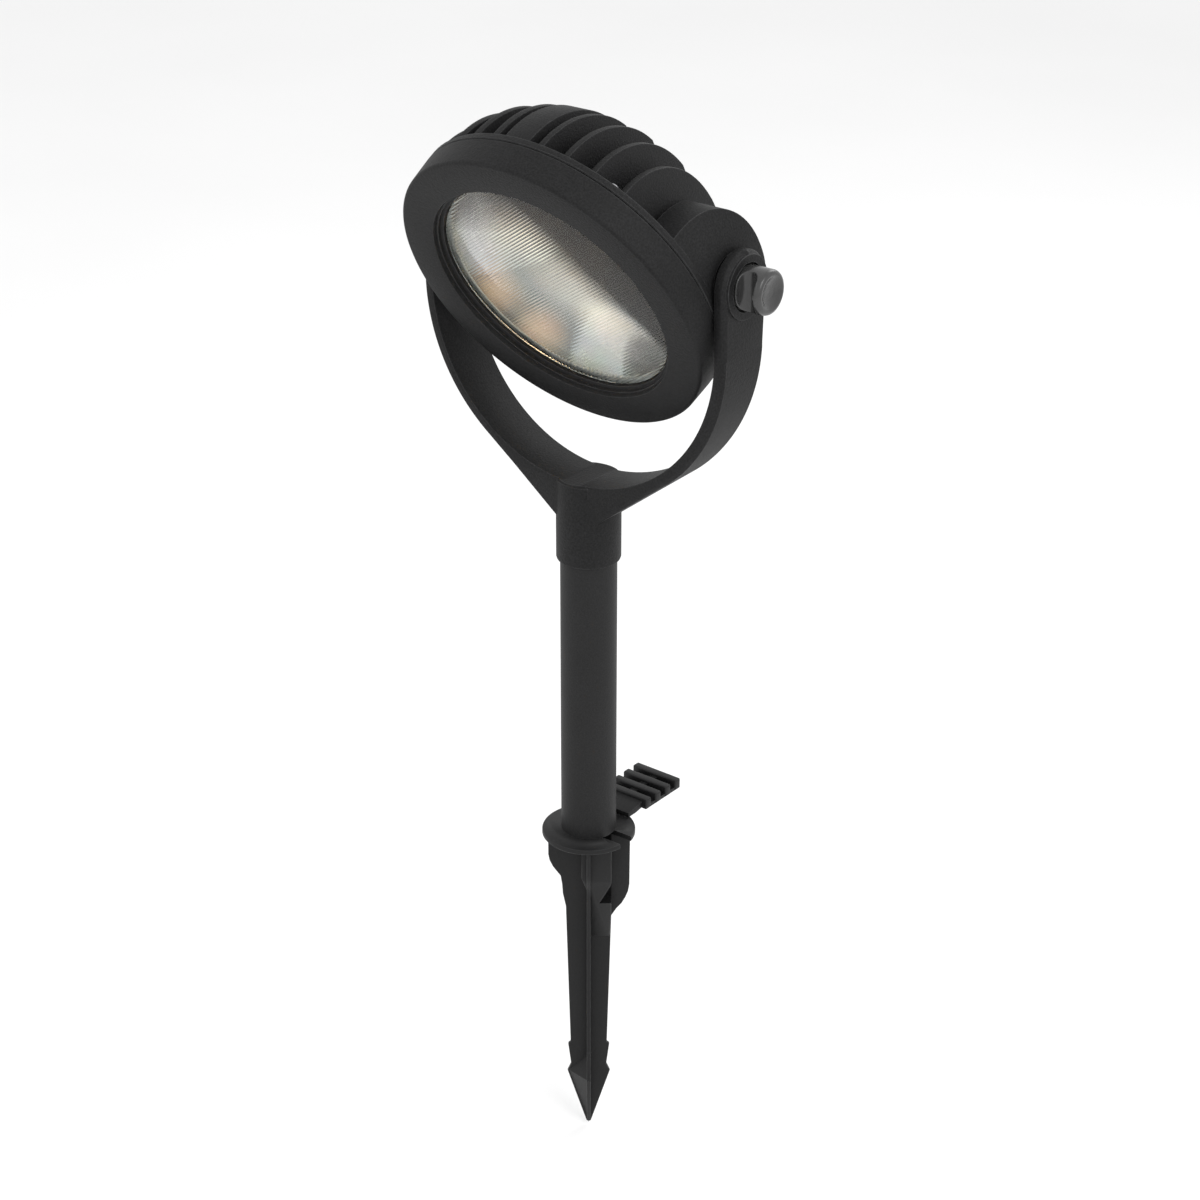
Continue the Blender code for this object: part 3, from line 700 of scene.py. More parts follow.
def head_coordinates(tree):
    """Object coordinates turned and moved into the head's frame: X along the tilt axis, Z forward."""
    place = add_node(tree, "ShaderNodeTexCoord")
    drop = add_node(tree, "ShaderNodeVectorMath", operation="SUBTRACT")
    turn = add_node(tree, "ShaderNodeMapping")
    head = bpy.context.scene.projector_head
    wire(tree, [
        (drop, 0, place.outputs["Object"]),
        (drop, 1, (0.0, 0.0, head.pivot_height)),
        (turn, "Vector", drop.outputs[0]),
        (turn, "Rotation", (-pi / 2 - head.tilt, 0.0, 0.0)),
    ])
    return turn.outputs["Vector"]


# Painted glow: spots on the reflector where the lamp's light is painted in as emission.
PAINTED_GLOW_SPOTS = (
    (-0.043, -0.020, 0.0107), (-0.028, -0.038, 0.0105), (-0.002, -0.027, 0.0015), (-0.029, 0.0086, 0.003),
)


def mirror_finish():
    """Metallised reflector: each flat facet carries a painted reflection of its own brightness, and painted glow
    spots stand in for the lamp's light.
    """
    tree, shader = new_finish("bright_reflector")
    inside = head_coordinates(tree)
    turned = add_node(tree, "ShaderNodeMapping")
    around = add_node(tree, "ShaderNodeTexGradient", gradient_type="RADIAL")
    facet_reflections = add_node(tree, "ShaderNodeValToRGB")
    haze = add_node(tree, "ShaderNodeTexNoise")
    gloss = add_node(tree, "ShaderNodeMapRange")
    tone = add_node(tree, "ShaderNodeMix", data_type="RGBA", blend_type="MULTIPLY")
    bump = add_node(tree, "ShaderNodeBump")
    # Painted reflections: a fixed brightness for each facet, two of them painted full white as highlights.
    facet_reflection_tones = (0.30, 0.42, 0.26, 0.36, 0.30, 1.00, 0.34, 0.46, 1.00, 0.34, 0.28, 0.40)
    ramp = facet_reflections.color_ramp
    ramp.interpolation = "CONSTANT"
    for number, value in enumerate(facet_reflection_tones):
        stop = ramp.elements[0] if number == 0 else ramp.elements.new(number / len(facet_reflection_tones))
        stop.position = number / len(facet_reflection_tones)
        stop.color = (value * 0.96, value, value * 0.98, 1.0)
    ramp.elements.remove(ramp.elements[-1])
    wire(tree, [
        (turned, "Vector", inside),
        (turned, "Rotation", (0.0, 0.0, radians(168.0))),
        (around, "Vector", turned.outputs["Vector"]),
        (facet_reflections, "Fac", around.outputs["Fac"]),
        (haze, "Vector", inside),
        (haze, "Scale", 90.0),
        (gloss, "Value", haze.outputs["Fac"]),
        (gloss, "To Min", 0.16),
        (gloss, "To Max", 0.34),
        (tone, "Factor", 0.25),
        (tone, "A", facet_reflections.outputs["Color"]),
        (tone, "B", haze.outputs["Color"]),
        (bump, "Height", haze.outputs["Fac"]),
        (bump, "Distance", 0.0001),
        (shader, "Base Color", shown(tone.outputs, "Result")),
        (shader, "Roughness", gloss.outputs[0]),
        (shader, "Normal", bump.outputs["Normal"]),
        (shader, "Metallic", 0.6),
        (shader, "Emission Strength", 1.0),
    ])
    painted_glow = None
    for spot in PAINTED_GLOW_SPOTS:
        reach = add_node(tree, "ShaderNodeVectorMath", operation="DISTANCE")
        fade = add_node(tree, "ShaderNodeMapRange", interpolation_type="SMOOTHSTEP")
        wire(tree, [
            (reach, 0, inside),
            (reach, 1, spot),
            (fade, "Value", reach.outputs["Value"]),
            (fade, "From Min", 0.001),
            (fade, "From Max", 0.016),
            (fade, "To Min", 1.0),
            (fade, "To Max", 0.0),
        ])
        if painted_glow is None:
            painted_glow = fade.outputs[0]
        else:
            total = add_node(tree, "ShaderNodeMath", operation="MAXIMUM")
            wire(tree, [(total, 0, painted_glow), (total, 1, fade.outputs[0])])
            painted_glow = total.outputs[0]
    # Painted glow: the reflector round the lamp's throat emits the lamp's light as a glow of its own.
    throat = add_node(tree, "ShaderNodeVectorMath", operation="DISTANCE")
    glow = add_node(tree, "ShaderNodeMapRange", interpolation_type="SMOOTHSTEP")
    light = add_node(tree, "ShaderNodeMix", data_type="RGBA")
    spots = add_node(tree, "ShaderNodeMix", data_type="RGBA")
    wire(tree, [
        (throat, 0, inside),
        (throat, 1, (0.0, 0.0, -0.004)),
        (glow, "Value", throat.outputs["Value"]),
        (glow, "From Min", 0.014),
        (glow, "From Max", 0.038),
        (glow, "To Min", 1.0),
        (glow, "To Max", 0.0),
        (spots, "Factor", painted_glow),
        (spots, "A", (0.0, 0.0, 0.0, 1.0)),
        (spots, "B", (0.42, 0.25, 0.12, 1.0)),
        (light, "Factor", glow.outputs[0]),
        (light, "A", shown(spots.outputs, "Result")),
        (light, "B", (1.0, 0.86, 0.64, 1.0)),
        (shader, "Emission Color", shown(light.outputs, "Result")),
    ])


def rim_finish():
    """Bright flat rim round the reflector, faintly hazed."""
    tree, shader = new_finish("bright_rim")
    skin = place_group(tree, "Speckled Skin", {
        "Colour": (0.62, 0.64, 0.62, 1.0), "Speck Scale": 400.0, "Speck Tone": 0.1, "Roughness": 0.3,
    })
    bump = add_node(tree, "ShaderNodeBump")
    wire(tree, [
        (bump, "Height", skin.outputs["Height"]),
        (bump, "Distance", 0.00002),
        (shader, "Base Color", skin.outputs["Colour"]),
        (shader, "Roughness", skin.outputs["Roughness"]),
        (shader, "Normal", bump.outputs["Normal"]),
        (shader, "Metallic", 0.5),
    ])


def lamp_finish(glow):
    """Warm light-emitting face, mottled in fine cells."""
    tree, shader = new_finish("warm_lamp")
    place = add_node(tree, "ShaderNodeTexCoord")
    cells = add_node(tree, "ShaderNodeTexVoronoi")
    bright = add_node(tree, "ShaderNodeMix", data_type="RGBA")
    bump = add_node(tree, "ShaderNodeBump")
    wire(tree, [
        (cells, "Vector", place.outputs["Object"]),
        (cells, "Scale", 500.0),
        (bright, "Factor", cells.outputs["Distance"]),
        (bright, "A", (*glow, 1.0)),
        (bright, "B", (1.0, 0.80, 0.55, 1.0)),
        (bump, "Height", cells.outputs["Distance"]),
        (bump, "Distance", 0.0001),
        (shader, "Base Color", shown(bright.outputs, "Result")),
        (shader, "Emission Color", shown(bright.outputs, "Result")),
        (shader, "Emission Strength", 14.0),
        (shader, "Roughness", 0.4),
        (shader, "Normal", bump.outputs["Normal"]),
    ])


def board_finish():
    """White printed board."""
    tree, shader = new_finish("white_board")
    skin = place_group(tree, "Speckled Skin", {
        "Colour": (0.74, 0.74, 0.71, 1.0), "Speck Scale": 900.0, "Speck Tone": 0.05, "Roughness": 0.35,
    })
    bump = add_node(tree, "ShaderNodeBump")
    wire(tree, [
        (bump, "Height", skin.outputs["Height"]),
        (bump, "Distance", 0.00003),
        (shader, "Base Color", skin.outputs["Colour"]),
        (shader, "Roughness", skin.outputs["Roughness"]),
        (shader, "Normal", bump.outputs["Normal"]),
    ])


# ---------------------------------------------------------------- pieces
class PROJECTOR_OT_finishes(bpy.types.Operator):
    """Build the finishes of every piece"""

    bl_idname = "projector.finishes"
    bl_label = "Finishes"

    def execute(self, context):
        build_finishes()
        return {"FINISHED"}


class PROJECTOR_OT_front_bezel(bpy.types.Operator):
    """Turn the round bezel with its stepped mouth"""

    bl_idname = "projector.front_bezel"
    bl_label = "Front Bezel"

    def execute(self, context):
        head = context.scene.projector_head
        face = head.face
        back = face - head.bezel_depth
        mouth = head.mouth_radius
        profile = [(mouth - 0.0004, face - 0.0006), (mouth - 0.0002, face - 0.0002), (mouth + 0.0003, face)]
        profile += arc(0.0016, pi / 2, 0.0, 6, (head.bezel_radius - 0.0016, face - 0.0016))
        profile += [(head.bezel_radius + 0.0006, back + 0.0005), (head.bezel_radius + 0.0002, back)]
        profile += [(0.0620, back), (0.0620, face - 0.0074), (0.0549, face - 0.0074)]
        profile += [(0.0546, face - 0.0071), (0.0547, face - 0.0044), (0.0555, face - 0.0041)]
        profile += [(0.0558, face - 0.0038), (0.0559, face - 0.0022), (0.0566, face - 0.0020)]
        bezel = spun("bezel_ring", profile, 176)
        put(bezel, head_place())
        finish_piece(bezel, "head", "textured_coat", ["front_bezel"])
        return {"FINISHED"}


class PROJECTOR_OT_front_glass(bpy.types.Operator):
    """Turn the glass disc, its gasket and the seal behind the bezel"""

    bl_idname = "projector.front_glass"
    bl_label = "Front Glass"

    def execute(self, context):
        head = context.scene.projector_head
        top = head.face - 0.0085
        bottom = top - 0.0040
        radius = head.glass_radius
        raised = head.face - 0.0054
        profile = [(0.0, raised), (0.0537, raised), (0.0541, raised - 0.0002), (0.0543, raised - 0.0006)]
        profile += [(0.0543, top), (radius - 0.0007, top), (radius - 0.0002, top - 0.0002)]
        profile += [(radius, top - 0.0007), (radius, bottom + 0.0007), (radius - 0.0002, bottom + 0.0002)]
        profile += [(radius - 0.0007, bottom), (0.0, bottom)]
        glass = spun("glass_disc", profile, 128, closed=False)
        put(glass, head_place())
        finish_piece(glass, "head", "ribbed_glass", ["front_glass"])
        seat = head.face - 0.0077
        gasket = spun("glass_gasket", [(0.0553, seat), (0.0605, seat), (0.0605, seat - 0.0005),
                                       (0.0553, seat - 0.0005), (0.0551, seat - 0.00025)], 128)
        put(gasket, head_place())
        finish_piece(gasket, "head", "seal_rubber", ["lens_gasket"])
        return {"FINISHED"}


class PROJECTOR_OT_reflector(bpy.types.Operator):
    """Model the faceted reflector"""

    bl_idname = "projector.reflector"
    bl_label = "Reflector"

    def execute(self, context):
        top = context.scene.projector_head.face - 0.0135
        profile = [(0.0551, top), (0.0556, top + 0.0006), (0.0560, top), (0.0560, top - 0.0012)]
        profile += [(0.0545, top - 0.0012), (0.0370, 0.0023), (0.0165, -0.0044), (0.0145, -0.0044)]
        profile += [(0.0148, -0.0036), (0.0365, 0.0050), (0.0535, top - 0.0026)]
        bowl = spun("reflector_bowl", profile, 12)
        put(bowl, head_place() @ Matrix.Rotation(radians(12.0), 4, "Z"))
        finish_piece(bowl, "head", "bright_reflector", ["reflector"], flat=True)
        rim = spun("reflector_rim", [
            (0.0521, top + 0.0004), (0.0528, top + 0.0009), (0.0557, top + 0.0009), (0.0560, top + 0.0006),
            (0.0560, top + 0.0001), (0.0521, top + 0.0001),
        ], 128)
        put(rim, head_place())
        finish_piece(rim, "head", "bright_rim", [])
        return {"FINISHED"}


def fin_outline(head, x):
    """Outline of a fin at a distance from the middle: a slice of the dome."""
    across, centre_z, radius = 0.0213, 0.0127, 0.0500
    front = head.face - head.bezel_depth - 0.0003 - head.rim_depth + 0.0005
    first = asin((front - centre_z) / radius)
    last = -asin(min(centre_z - head.back, sqrt(radius**2 - max(x - across, 0.0) ** 2)) / radius)
    upper = []
    for reach, z in arc(radius, first, last, 30, (across, centre_z)):
        upper.append((sqrt(max(reach * reach - x * x, 0.0)), z))
    return upper + [(-up, z) for up, z in reversed(upper) if up > 0.0001]


class PROJECTOR_OT_finned_housing(bpy.types.Operator):
    """Model the cast housing with its cooling fins, middle rib and pivot ears"""

    bl_idname = "projector.finned_housing"
    bl_label = "Finned Housing"

    def execute(self, context):
        head = context.scene.projector_head
        yoke = context.scene.projector_yoke
        rim_top = head.face - head.bezel_depth - 0.0003
        rim_bottom = rim_top - head.rim_depth
        rim = head.bezel_radius + 0.0006
        profile = [(0.0, rim_top), (rim - 0.0004, rim_top), (rim, rim_top - 0.0004), (rim, rim_bottom + 0.0008)]
        profile += [(rim - 0.0003, rim_bottom + 0.0002), (rim - 0.0008, rim_bottom)]
        profile += [(0.0628, rim_bottom), (0.0619, rim_bottom - 0.0006), (0.0590, 0.0080), (0.0560, 0.0030)]
        profile += [(0.0520, -0.0025), (0.0470, -0.0080), (0.0425, -0.0130), (0.0380, -0.0180)]
        profile += [(0.0338, -0.0230), (0.0300, head.back + 0.0050), (0.0, head.back + 0.0050)]
        housing = spun("finned_housing", profile, 128, closed=False)
        shapes = []
        for index in range(1, head.fin_count + 1):
            for sign in (-1, 1):
                x = sign * index * head.fin_pitch
                fin = plate_across("fin", fin_outline(head, abs(x)), x, head.fin_thickness)
                soften(fin, 0.0005)
                shapes.append(fin)
        rib = plate_across("rib", fin_outline(head, 0.0), 0.0, head.rib_width)
        soften(rib, 0.0006)
        shapes.append(rib)
        front = rim_bottom + 0.0005
        depth = front + 0.0218
        ear_line = []
        for index in range(49):
            angle = pi * index / 48
            side = 1 if cos(angle) > 0 else -1
            up = 0.0346 * abs(cos(angle)) ** (2 / 2.7) * side
            ear_line.append((up, front - depth * sin(angle) ** (2 / 2.7)))
        for sign in (-1, 1):
            ear = plate_across("ear", ear_line, sign * 0.0630, 0.0240)
            bound = rod("bound", rim - 0.0004, (0, 0, -0.05), (0, 0, rim_bottom + 0.001), 160)
            boolean(ear, [bound], "INTERSECT")
            shapes.append(ear)
        boolean(housing, shapes, "UNION")
        cavity = [(0.0, 0.05), (0.0590, 0.05), (0.0590, head.face - 0.0160), (0.0505, 0.0020)]
        cavity += [(0.0390, -0.0060), (0.0290, -0.0069), (0.0, -0.0069)]
        cuts = [spun("cavity", cavity, 96, closed=False)]
        cuts.append(rod("driver_pocket", 0.0235, (0, 0, -0.0220), (0, 0, -0.0059), 48))
        cuts.append(rod("gland_bore", 0.0051, (0, 0, -0.060), (0, 0, -0.010), 40))
        for sign in (-1, 1):
            seat = sign * (yoke.ring_radius - 0.0034)
            cuts.append(rod("spacer_seat", 0.0125, (seat, 0, 0), (sign * 0.08, 0, 0), 56))
        boolean(housing, cuts, "DIFFERENCE")
        put(housing, head_place())
        finish_piece(housing, "head", "textured_coat", ["heat_sink_housing"])
        return {"FINISHED"}


class PROJECTOR_OT_rim_screws(bpy.types.Operator):
    """Model one rim screw and copy it round the rim"""

    bl_idname = "projector.rim_screws"
    bl_label = "Rim Screws"

    def execute(self, context):
        head = context.scene.projector_head
        under = head.face - head.bezel_depth - 0.0003 - head.rim_depth
        first = socket_head("rim_bolt_1", 0.0026, 0.0022, 0.0012, under - 0.0003, under - 0.0025, (0.0015, under + 0.002))
        bolts = [first]
        for number in (2, 3, 4):
            twin = first.copy()
            twin.data = first.data.copy()
            twin.name = "rim_bolt_{}".format(number)
            context.scene.collection.objects.link(twin)
            bolts.append(twin)
        places = [(-0.0404, -0.0537), (-0.0404, 0.0537), (0.0404, -0.0537), (0.0404, 0.0537)]
        for number, (bolt, (x, y)) in enumerate(zip(bolts, places), 1):
            put(bolt, head_place() @ Matrix.Translation((x, y, 0)))
            finish_piece(bolt, "head", "turned_steel", ["rim_screw_{}".format(number)])
        return {"FINISHED"}


class PROJECTOR_OT_cable_gland(bpy.types.Operator):
    """Model the cable inlet at the back with its gripping nut"""

    bl_idname = "projector.cable_gland"
    bl_label = "Cable Gland"

    def execute(self, context):
        seat = context.scene.projector_head.back
        body = spun("gland_barrel", [
            (0.0050, seat - 0.0003), (0.0083, seat - 0.0003), (0.0085, seat - 0.0005), (0.0085, seat - 0.0058),
            (0.0083, seat - 0.0060), (0.0066, seat - 0.0062), (0.0066, seat - 0.0150), (0.0050, seat - 0.0150),
        ], 64)
        flats = rod("flats", 0.0093, (0, 0, seat - 0.0003), (0, 0, seat - 0.0200), 6)
        boolean(body, [flats], "INTERSECT")
        top = seat - 0.0066
        nut = spun("gland_cap", [
            (0.0070, top), (0.0088, top), (0.0092, top - 0.0004), (0.0092, top - 0.0096), (0.0088, top - 0.0106),
            (0.0064, top - 0.0137), (0.0058, top - 0.0140), (0.0044, top - 0.0140), (0.0040, top - 0.0136),
            (0.0040, top - 0.0100), (0.0070, top - 0.0096),
        ], 96)
        flutes = []
        for index in range(12):
            angle = 2 * pi * index / 12
            x = 0.0102 * cos(angle)
            y = 0.0102 * sin(angle)
            flutes.append(rod("flute", 0.0014, (x, y, top - 0.0012), (x, y, top - 0.0130), 16))
        boolean(nut, flutes, "DIFFERENCE")
        for piece, node in ((body, "gland_body"), (nut, "gland_nut")):
            put(piece, head_place())
            finish_piece(piece, "head", "moulded_plastic", [node])
        return {"FINISHED"}


def yoke_outline(yoke, pivot):
    """The yoke seen along Y: hub neck, tangent sides, round bowl and straight arms."""
    outer = yoke.ring_radius + yoke.band
    top = pivot + yoke.arm_width / 2 + 0.002
    tangent = -pi / 2 + yoke.gusset
    touch_x = outer * cos(tangent)
    touch_z = yoke.ring_height + outer * sin(tangent)
    neck = 0.0080
    neck_z = touch_z - (touch_x - neck) * sin(yoke.gusset) / cos(yoke.gusset)
    right = [(neck, neck_z)]
    right += arc(outer, tangent, 0.0, 36, (0.0, yoke.ring_height))
    right += [(outer, top), (yoke.ring_radius, top)]
    bowl = arc(yoke.ring_radius, 0.0, -pi, 80, (0.0, yoke.ring_height))
    return right + bowl + [(-x, z) for x, z in reversed(right)]


class PROJECTOR_OT_cast_yoke(bpy.types.Operator):
    """Model the bowl-shaped yoke with its chamfered arms and hub"""

    bl_idname = "projector.cast_yoke"
    bl_label = "Cast Yoke"

    def execute(self, context):
        yoke = context.scene.projector_yoke
        knob = context.scene.projector_knob
        stake = context.scene.projector_stake
        pivot = context.scene.projector_head.pivot_height
        outer = yoke.ring_radius + yoke.band
        low = yoke.ring_height - yoke.ring_radius
        half = yoke.arm_width / 2
        low_half = yoke.low_width / 2
        shape = plate_along("bowl_yoke", yoke_outline(yoke, pivot), 0.0, 0.060)
        side = [(low_half, HUB_BOTTOM), (low_half, low)]
        side += arc(half, 0.0, pi, 40, (0.0, pivot))
        side += [(-low_half, low), (-low_half, HUB_BOTTOM)]
        boolean(shape, [plate_across("side", side, 0.0, 0.200)], "INTERSECT")
        self.chamfer_arms(shape, yoke, pivot)
        soften(shape, 0.0004, 2, 24.0)
        self.add_hub(shape, yoke, pivot, outer)
        cuts = [rod("stem_socket", stake.tube_radius + 0.0003, (0, 0, HUB_BOTTOM - 0.01), (0, 0, 0.1640), 96)]
        recess = outer - knob.recess
        cuts.append(rod("recess", knob.radius + 0.0008, (recess, 0, pivot), (0.09, 0, pivot), 64))
        for sign in (-1, 1):
            cuts.append(rod("bore", 0.0031, (sign * 0.06, 0, pivot), (sign * 0.09, 0, pivot), 40))
        cuts.append(rod("grub_bore", 0.0027, (0, 0.005, 0.1480), (0, 0.020, 0.1480), 32))
        boolean(shape, cuts, "DIFFERENCE")
        finish_piece(shape, "yoke", "textured_coat", ["yoke"])
        return {"FINISHED"}

    def chamfer_arms(self, shape, yoke, pivot):
        """Bevels the outer front and back edges of the band."""
        outer = yoke.ring_radius + yoke.band
        only(shape)
        bpy.ops.object.mode_set(mode="EDIT")
        bpy.ops.mesh.select_all(action="SELECT")
        bpy.ops.mesh.dissolve_limited(angle_limit=radians(0.5))
        bpy.ops.mesh.select_all(action="DESELECT")
        bpy.ops.object.mode_set(mode="OBJECT")
        mesh = shape.data
        around = {}
        for polygon in mesh.polygons:
            for key in polygon.edge_keys:
                around.setdefault(key, []).append(polygon.normal)
        for edge in mesh.edges:
            normals = around.get(edge.key, [])
            if len(normals) != 2:
                continue
            ends = [mesh.vertices[index].co for index in edge.vertices]
            middle = (ends[0] + ends[1]) / 2
            reach = sqrt(middle.x**2 + min(middle.z - yoke.ring_height, 0.0) ** 2)
            facing = max(abs(normal.y) for normal in normals)
            outward = max(
                normal.x * (1 if middle.x > 0 else -1) for normal in normals if abs(normal.y) < 0.5
            ) if any(abs(normal.y) < 0.5 for normal in normals) else 0.0
            sharp = normals[0].dot(normals[1]) < 0.5
            if sharp and reach > outer - 0.0004 and facing > 0.1 and outward > 0.2:
                edge.select = True
        bpy.ops.object.mode_set(mode="EDIT")
        bpy.ops.mesh.bevel(offset=yoke.chamfer, offset_type="WIDTH", segments=1, affect="EDGES", clamp_overlap=False)
        tidy_mesh()

    def add_hub(self, shape, yoke, pivot, outer):
        """Joins the hub and the knob's boss to the yoke."""
        low = HUB_BOTTOM
        radius = yoke.hub_radius
        profile = [(0.0, yoke.hub_top), (radius - 0.0008, yoke.hub_top), (radius, yoke.hub_top - 0.0010)]
        profile += [(radius, low + 0.0012), (radius - 0.0003, low + 0.0004), (radius - 0.0010, low), (0.0, low)]
        hub = spun("hub", profile, 96, closed=False)
        floor = rod("floor", yoke.ring_radius, (0, -0.03, yoke.ring_height), (0, 0.03, yoke.ring_height), 160)
        boolean(hub, [floor], "DIFFERENCE")
        boss = rod("boss", 0.0136, (outer - 0.0005, 0, pivot), (outer + 0.0008, 0, pivot), 64, 0.0134)
        boolean(shape, [hub, boss], "UNION")


class PROJECTOR_OT_pivot_fittings(bpy.types.Operator):
    """Model the spacers, the washer and the screws of the pivots and hub"""

    bl_idname = "projector.pivot_fittings"
    bl_label = "Pivot Fittings"

    def execute(self, context):
        yoke = context.scene.projector_yoke
        knob = context.scene.projector_knob
        stake = context.scene.projector_stake
        outer = yoke.ring_radius + yoke.band
        near = yoke.ring_radius - 0.0034 + 0.0003
        far = yoke.ring_radius - 0.0003
        for sign, word in ((-1, "left"), (1, "right")):
            spacer = spun("pivot_collar_" + word, [
                (0.0034, near), (0.0107, near), (0.0110, near + 0.0003), (0.0110, far - 0.0003),
                (0.0107, far), (0.0034, far),
            ], 64)
            put(spacer, head_place() @ Matrix.Rotation(sign * pi / 2, 4, "Y"))
            finish_piece(spacer, "head", "moulded_plastic", ["pivot_spacer_" + word])
        washer_low = outer - knob.recess + 0.0003
        washer = spun("knob_disc", [
            (0.0032, washer_low), (0.0086, washer_low), (0.0088, washer_low + 0.0002),
            (0.0088, washer_low + 0.0006), (0.0086, washer_low + 0.0008), (0.0032, washer_low + 0.0008),
        ], 64)
        put(washer, pivot_place() @ ALONG_X)
        finish_piece(washer, "yoke", "dark_washer", ["knob_washer"])
        bolt = socket_head("pivot_bolt", 0.0056, 0.0033, 0.0022, outer + 0.0003, outer + 0.0036, (0.0028, 0.0600))
        put(bolt, pivot_place() @ Matrix.Rotation(-pi / 2, 4, "Y"))
        finish_piece(bolt, "yoke", "turned_steel", ["pivot_screw"])
        start = stake.tube_radius + 0.0003
        grub = socket_head("hub_grub", 0.0024, 0.0034, 0.0012, start + 0.0004, start + 0.0042, (0.0020, start))
        put(grub, Matrix.Translation((0, 0, 0.1480)) @ Matrix.Rotation(-pi / 2, 4, "X"))
        finish_piece(grub, "yoke", "turned_steel", ["grub_screw"])
        return {"FINISHED"}


class PROJECTOR_OT_hand_knob(bpy.types.Operator):
    """Model the pinched hand knob"""

    bl_idname = "projector.hand_knob"
    bl_label = "Hand Knob"

    def execute(self, context):
        yoke = context.scene.projector_yoke
        knob = context.scene.projector_knob
        base = yoke.ring_radius + yoke.band - knob.recess + 0.0008 + 0.0006
        end = base + knob.length
        radius = knob.radius
        profile = [(0.0, end - 0.0018), (0.0030, end - 0.0016), (0.0052, end - 0.0010), (radius - 0.0023, end)]
        profile += [(radius - 0.0014, end), (radius - 0.0005, end - 0.0006), (radius, end - 0.0016)]
        profile += [(radius, base + 0.0005), (radius - 0.0005, base), (0.0, base)]
        grip = spun("pinch_knob", profile, 72, closed=False)
        put(grip, ALONG_X)
        waist = base + 0.0052
        scoops = []
        for sign in (-1, 1):
            scoops.append(rod("scoop", 0.0040, (waist, sign * 0.0080, -0.02), (waist, sign * 0.0080, 0.02), 64))
        boolean(grip, scoops, "DIFFERENCE")
        apply_modifier(grip, "REMESH", mode="VOXEL", voxel_size=0.00024, adaptivity=0.0)
        apply_modifier(grip, "SMOOTH", factor=0.5, iterations=5)
        stud = rod("stud", 0.0028, (0.0600, 0, 0), (base + 0.004, 0, 0), 40)
        boolean(grip, [stud], "UNION")
        put(grip, pivot_place())
        finish_piece(grip, "knob", "gloss_knob", ["wing_knob"], angle=50.0)
        return {"FINISHED"}


class PROJECTOR_OT_stem_tube(bpy.types.Operator):
    """Turn the painted tube"""

    bl_idname = "projector.stem_tube"
    bl_label = "Stem Tube"

    def execute(self, context):
        stake = context.scene.projector_stake
        radius = stake.tube_radius
        inner = radius - stake.tube_wall
        low = TUBE_LOW.z
        top = TUBE_HIGH.z
        profile = [(inner, top), (radius - 0.0004, top), (radius, top - 0.0004), (radius, low + 0.0004)]
        profile += [(radius - 0.0004, low), (inner, low)]
        tube = spun("painted_tube", profile, 112)
        finish_piece(tube, "stake", "tube_coat", ["stem_tube"])
        return {"FINISHED"}


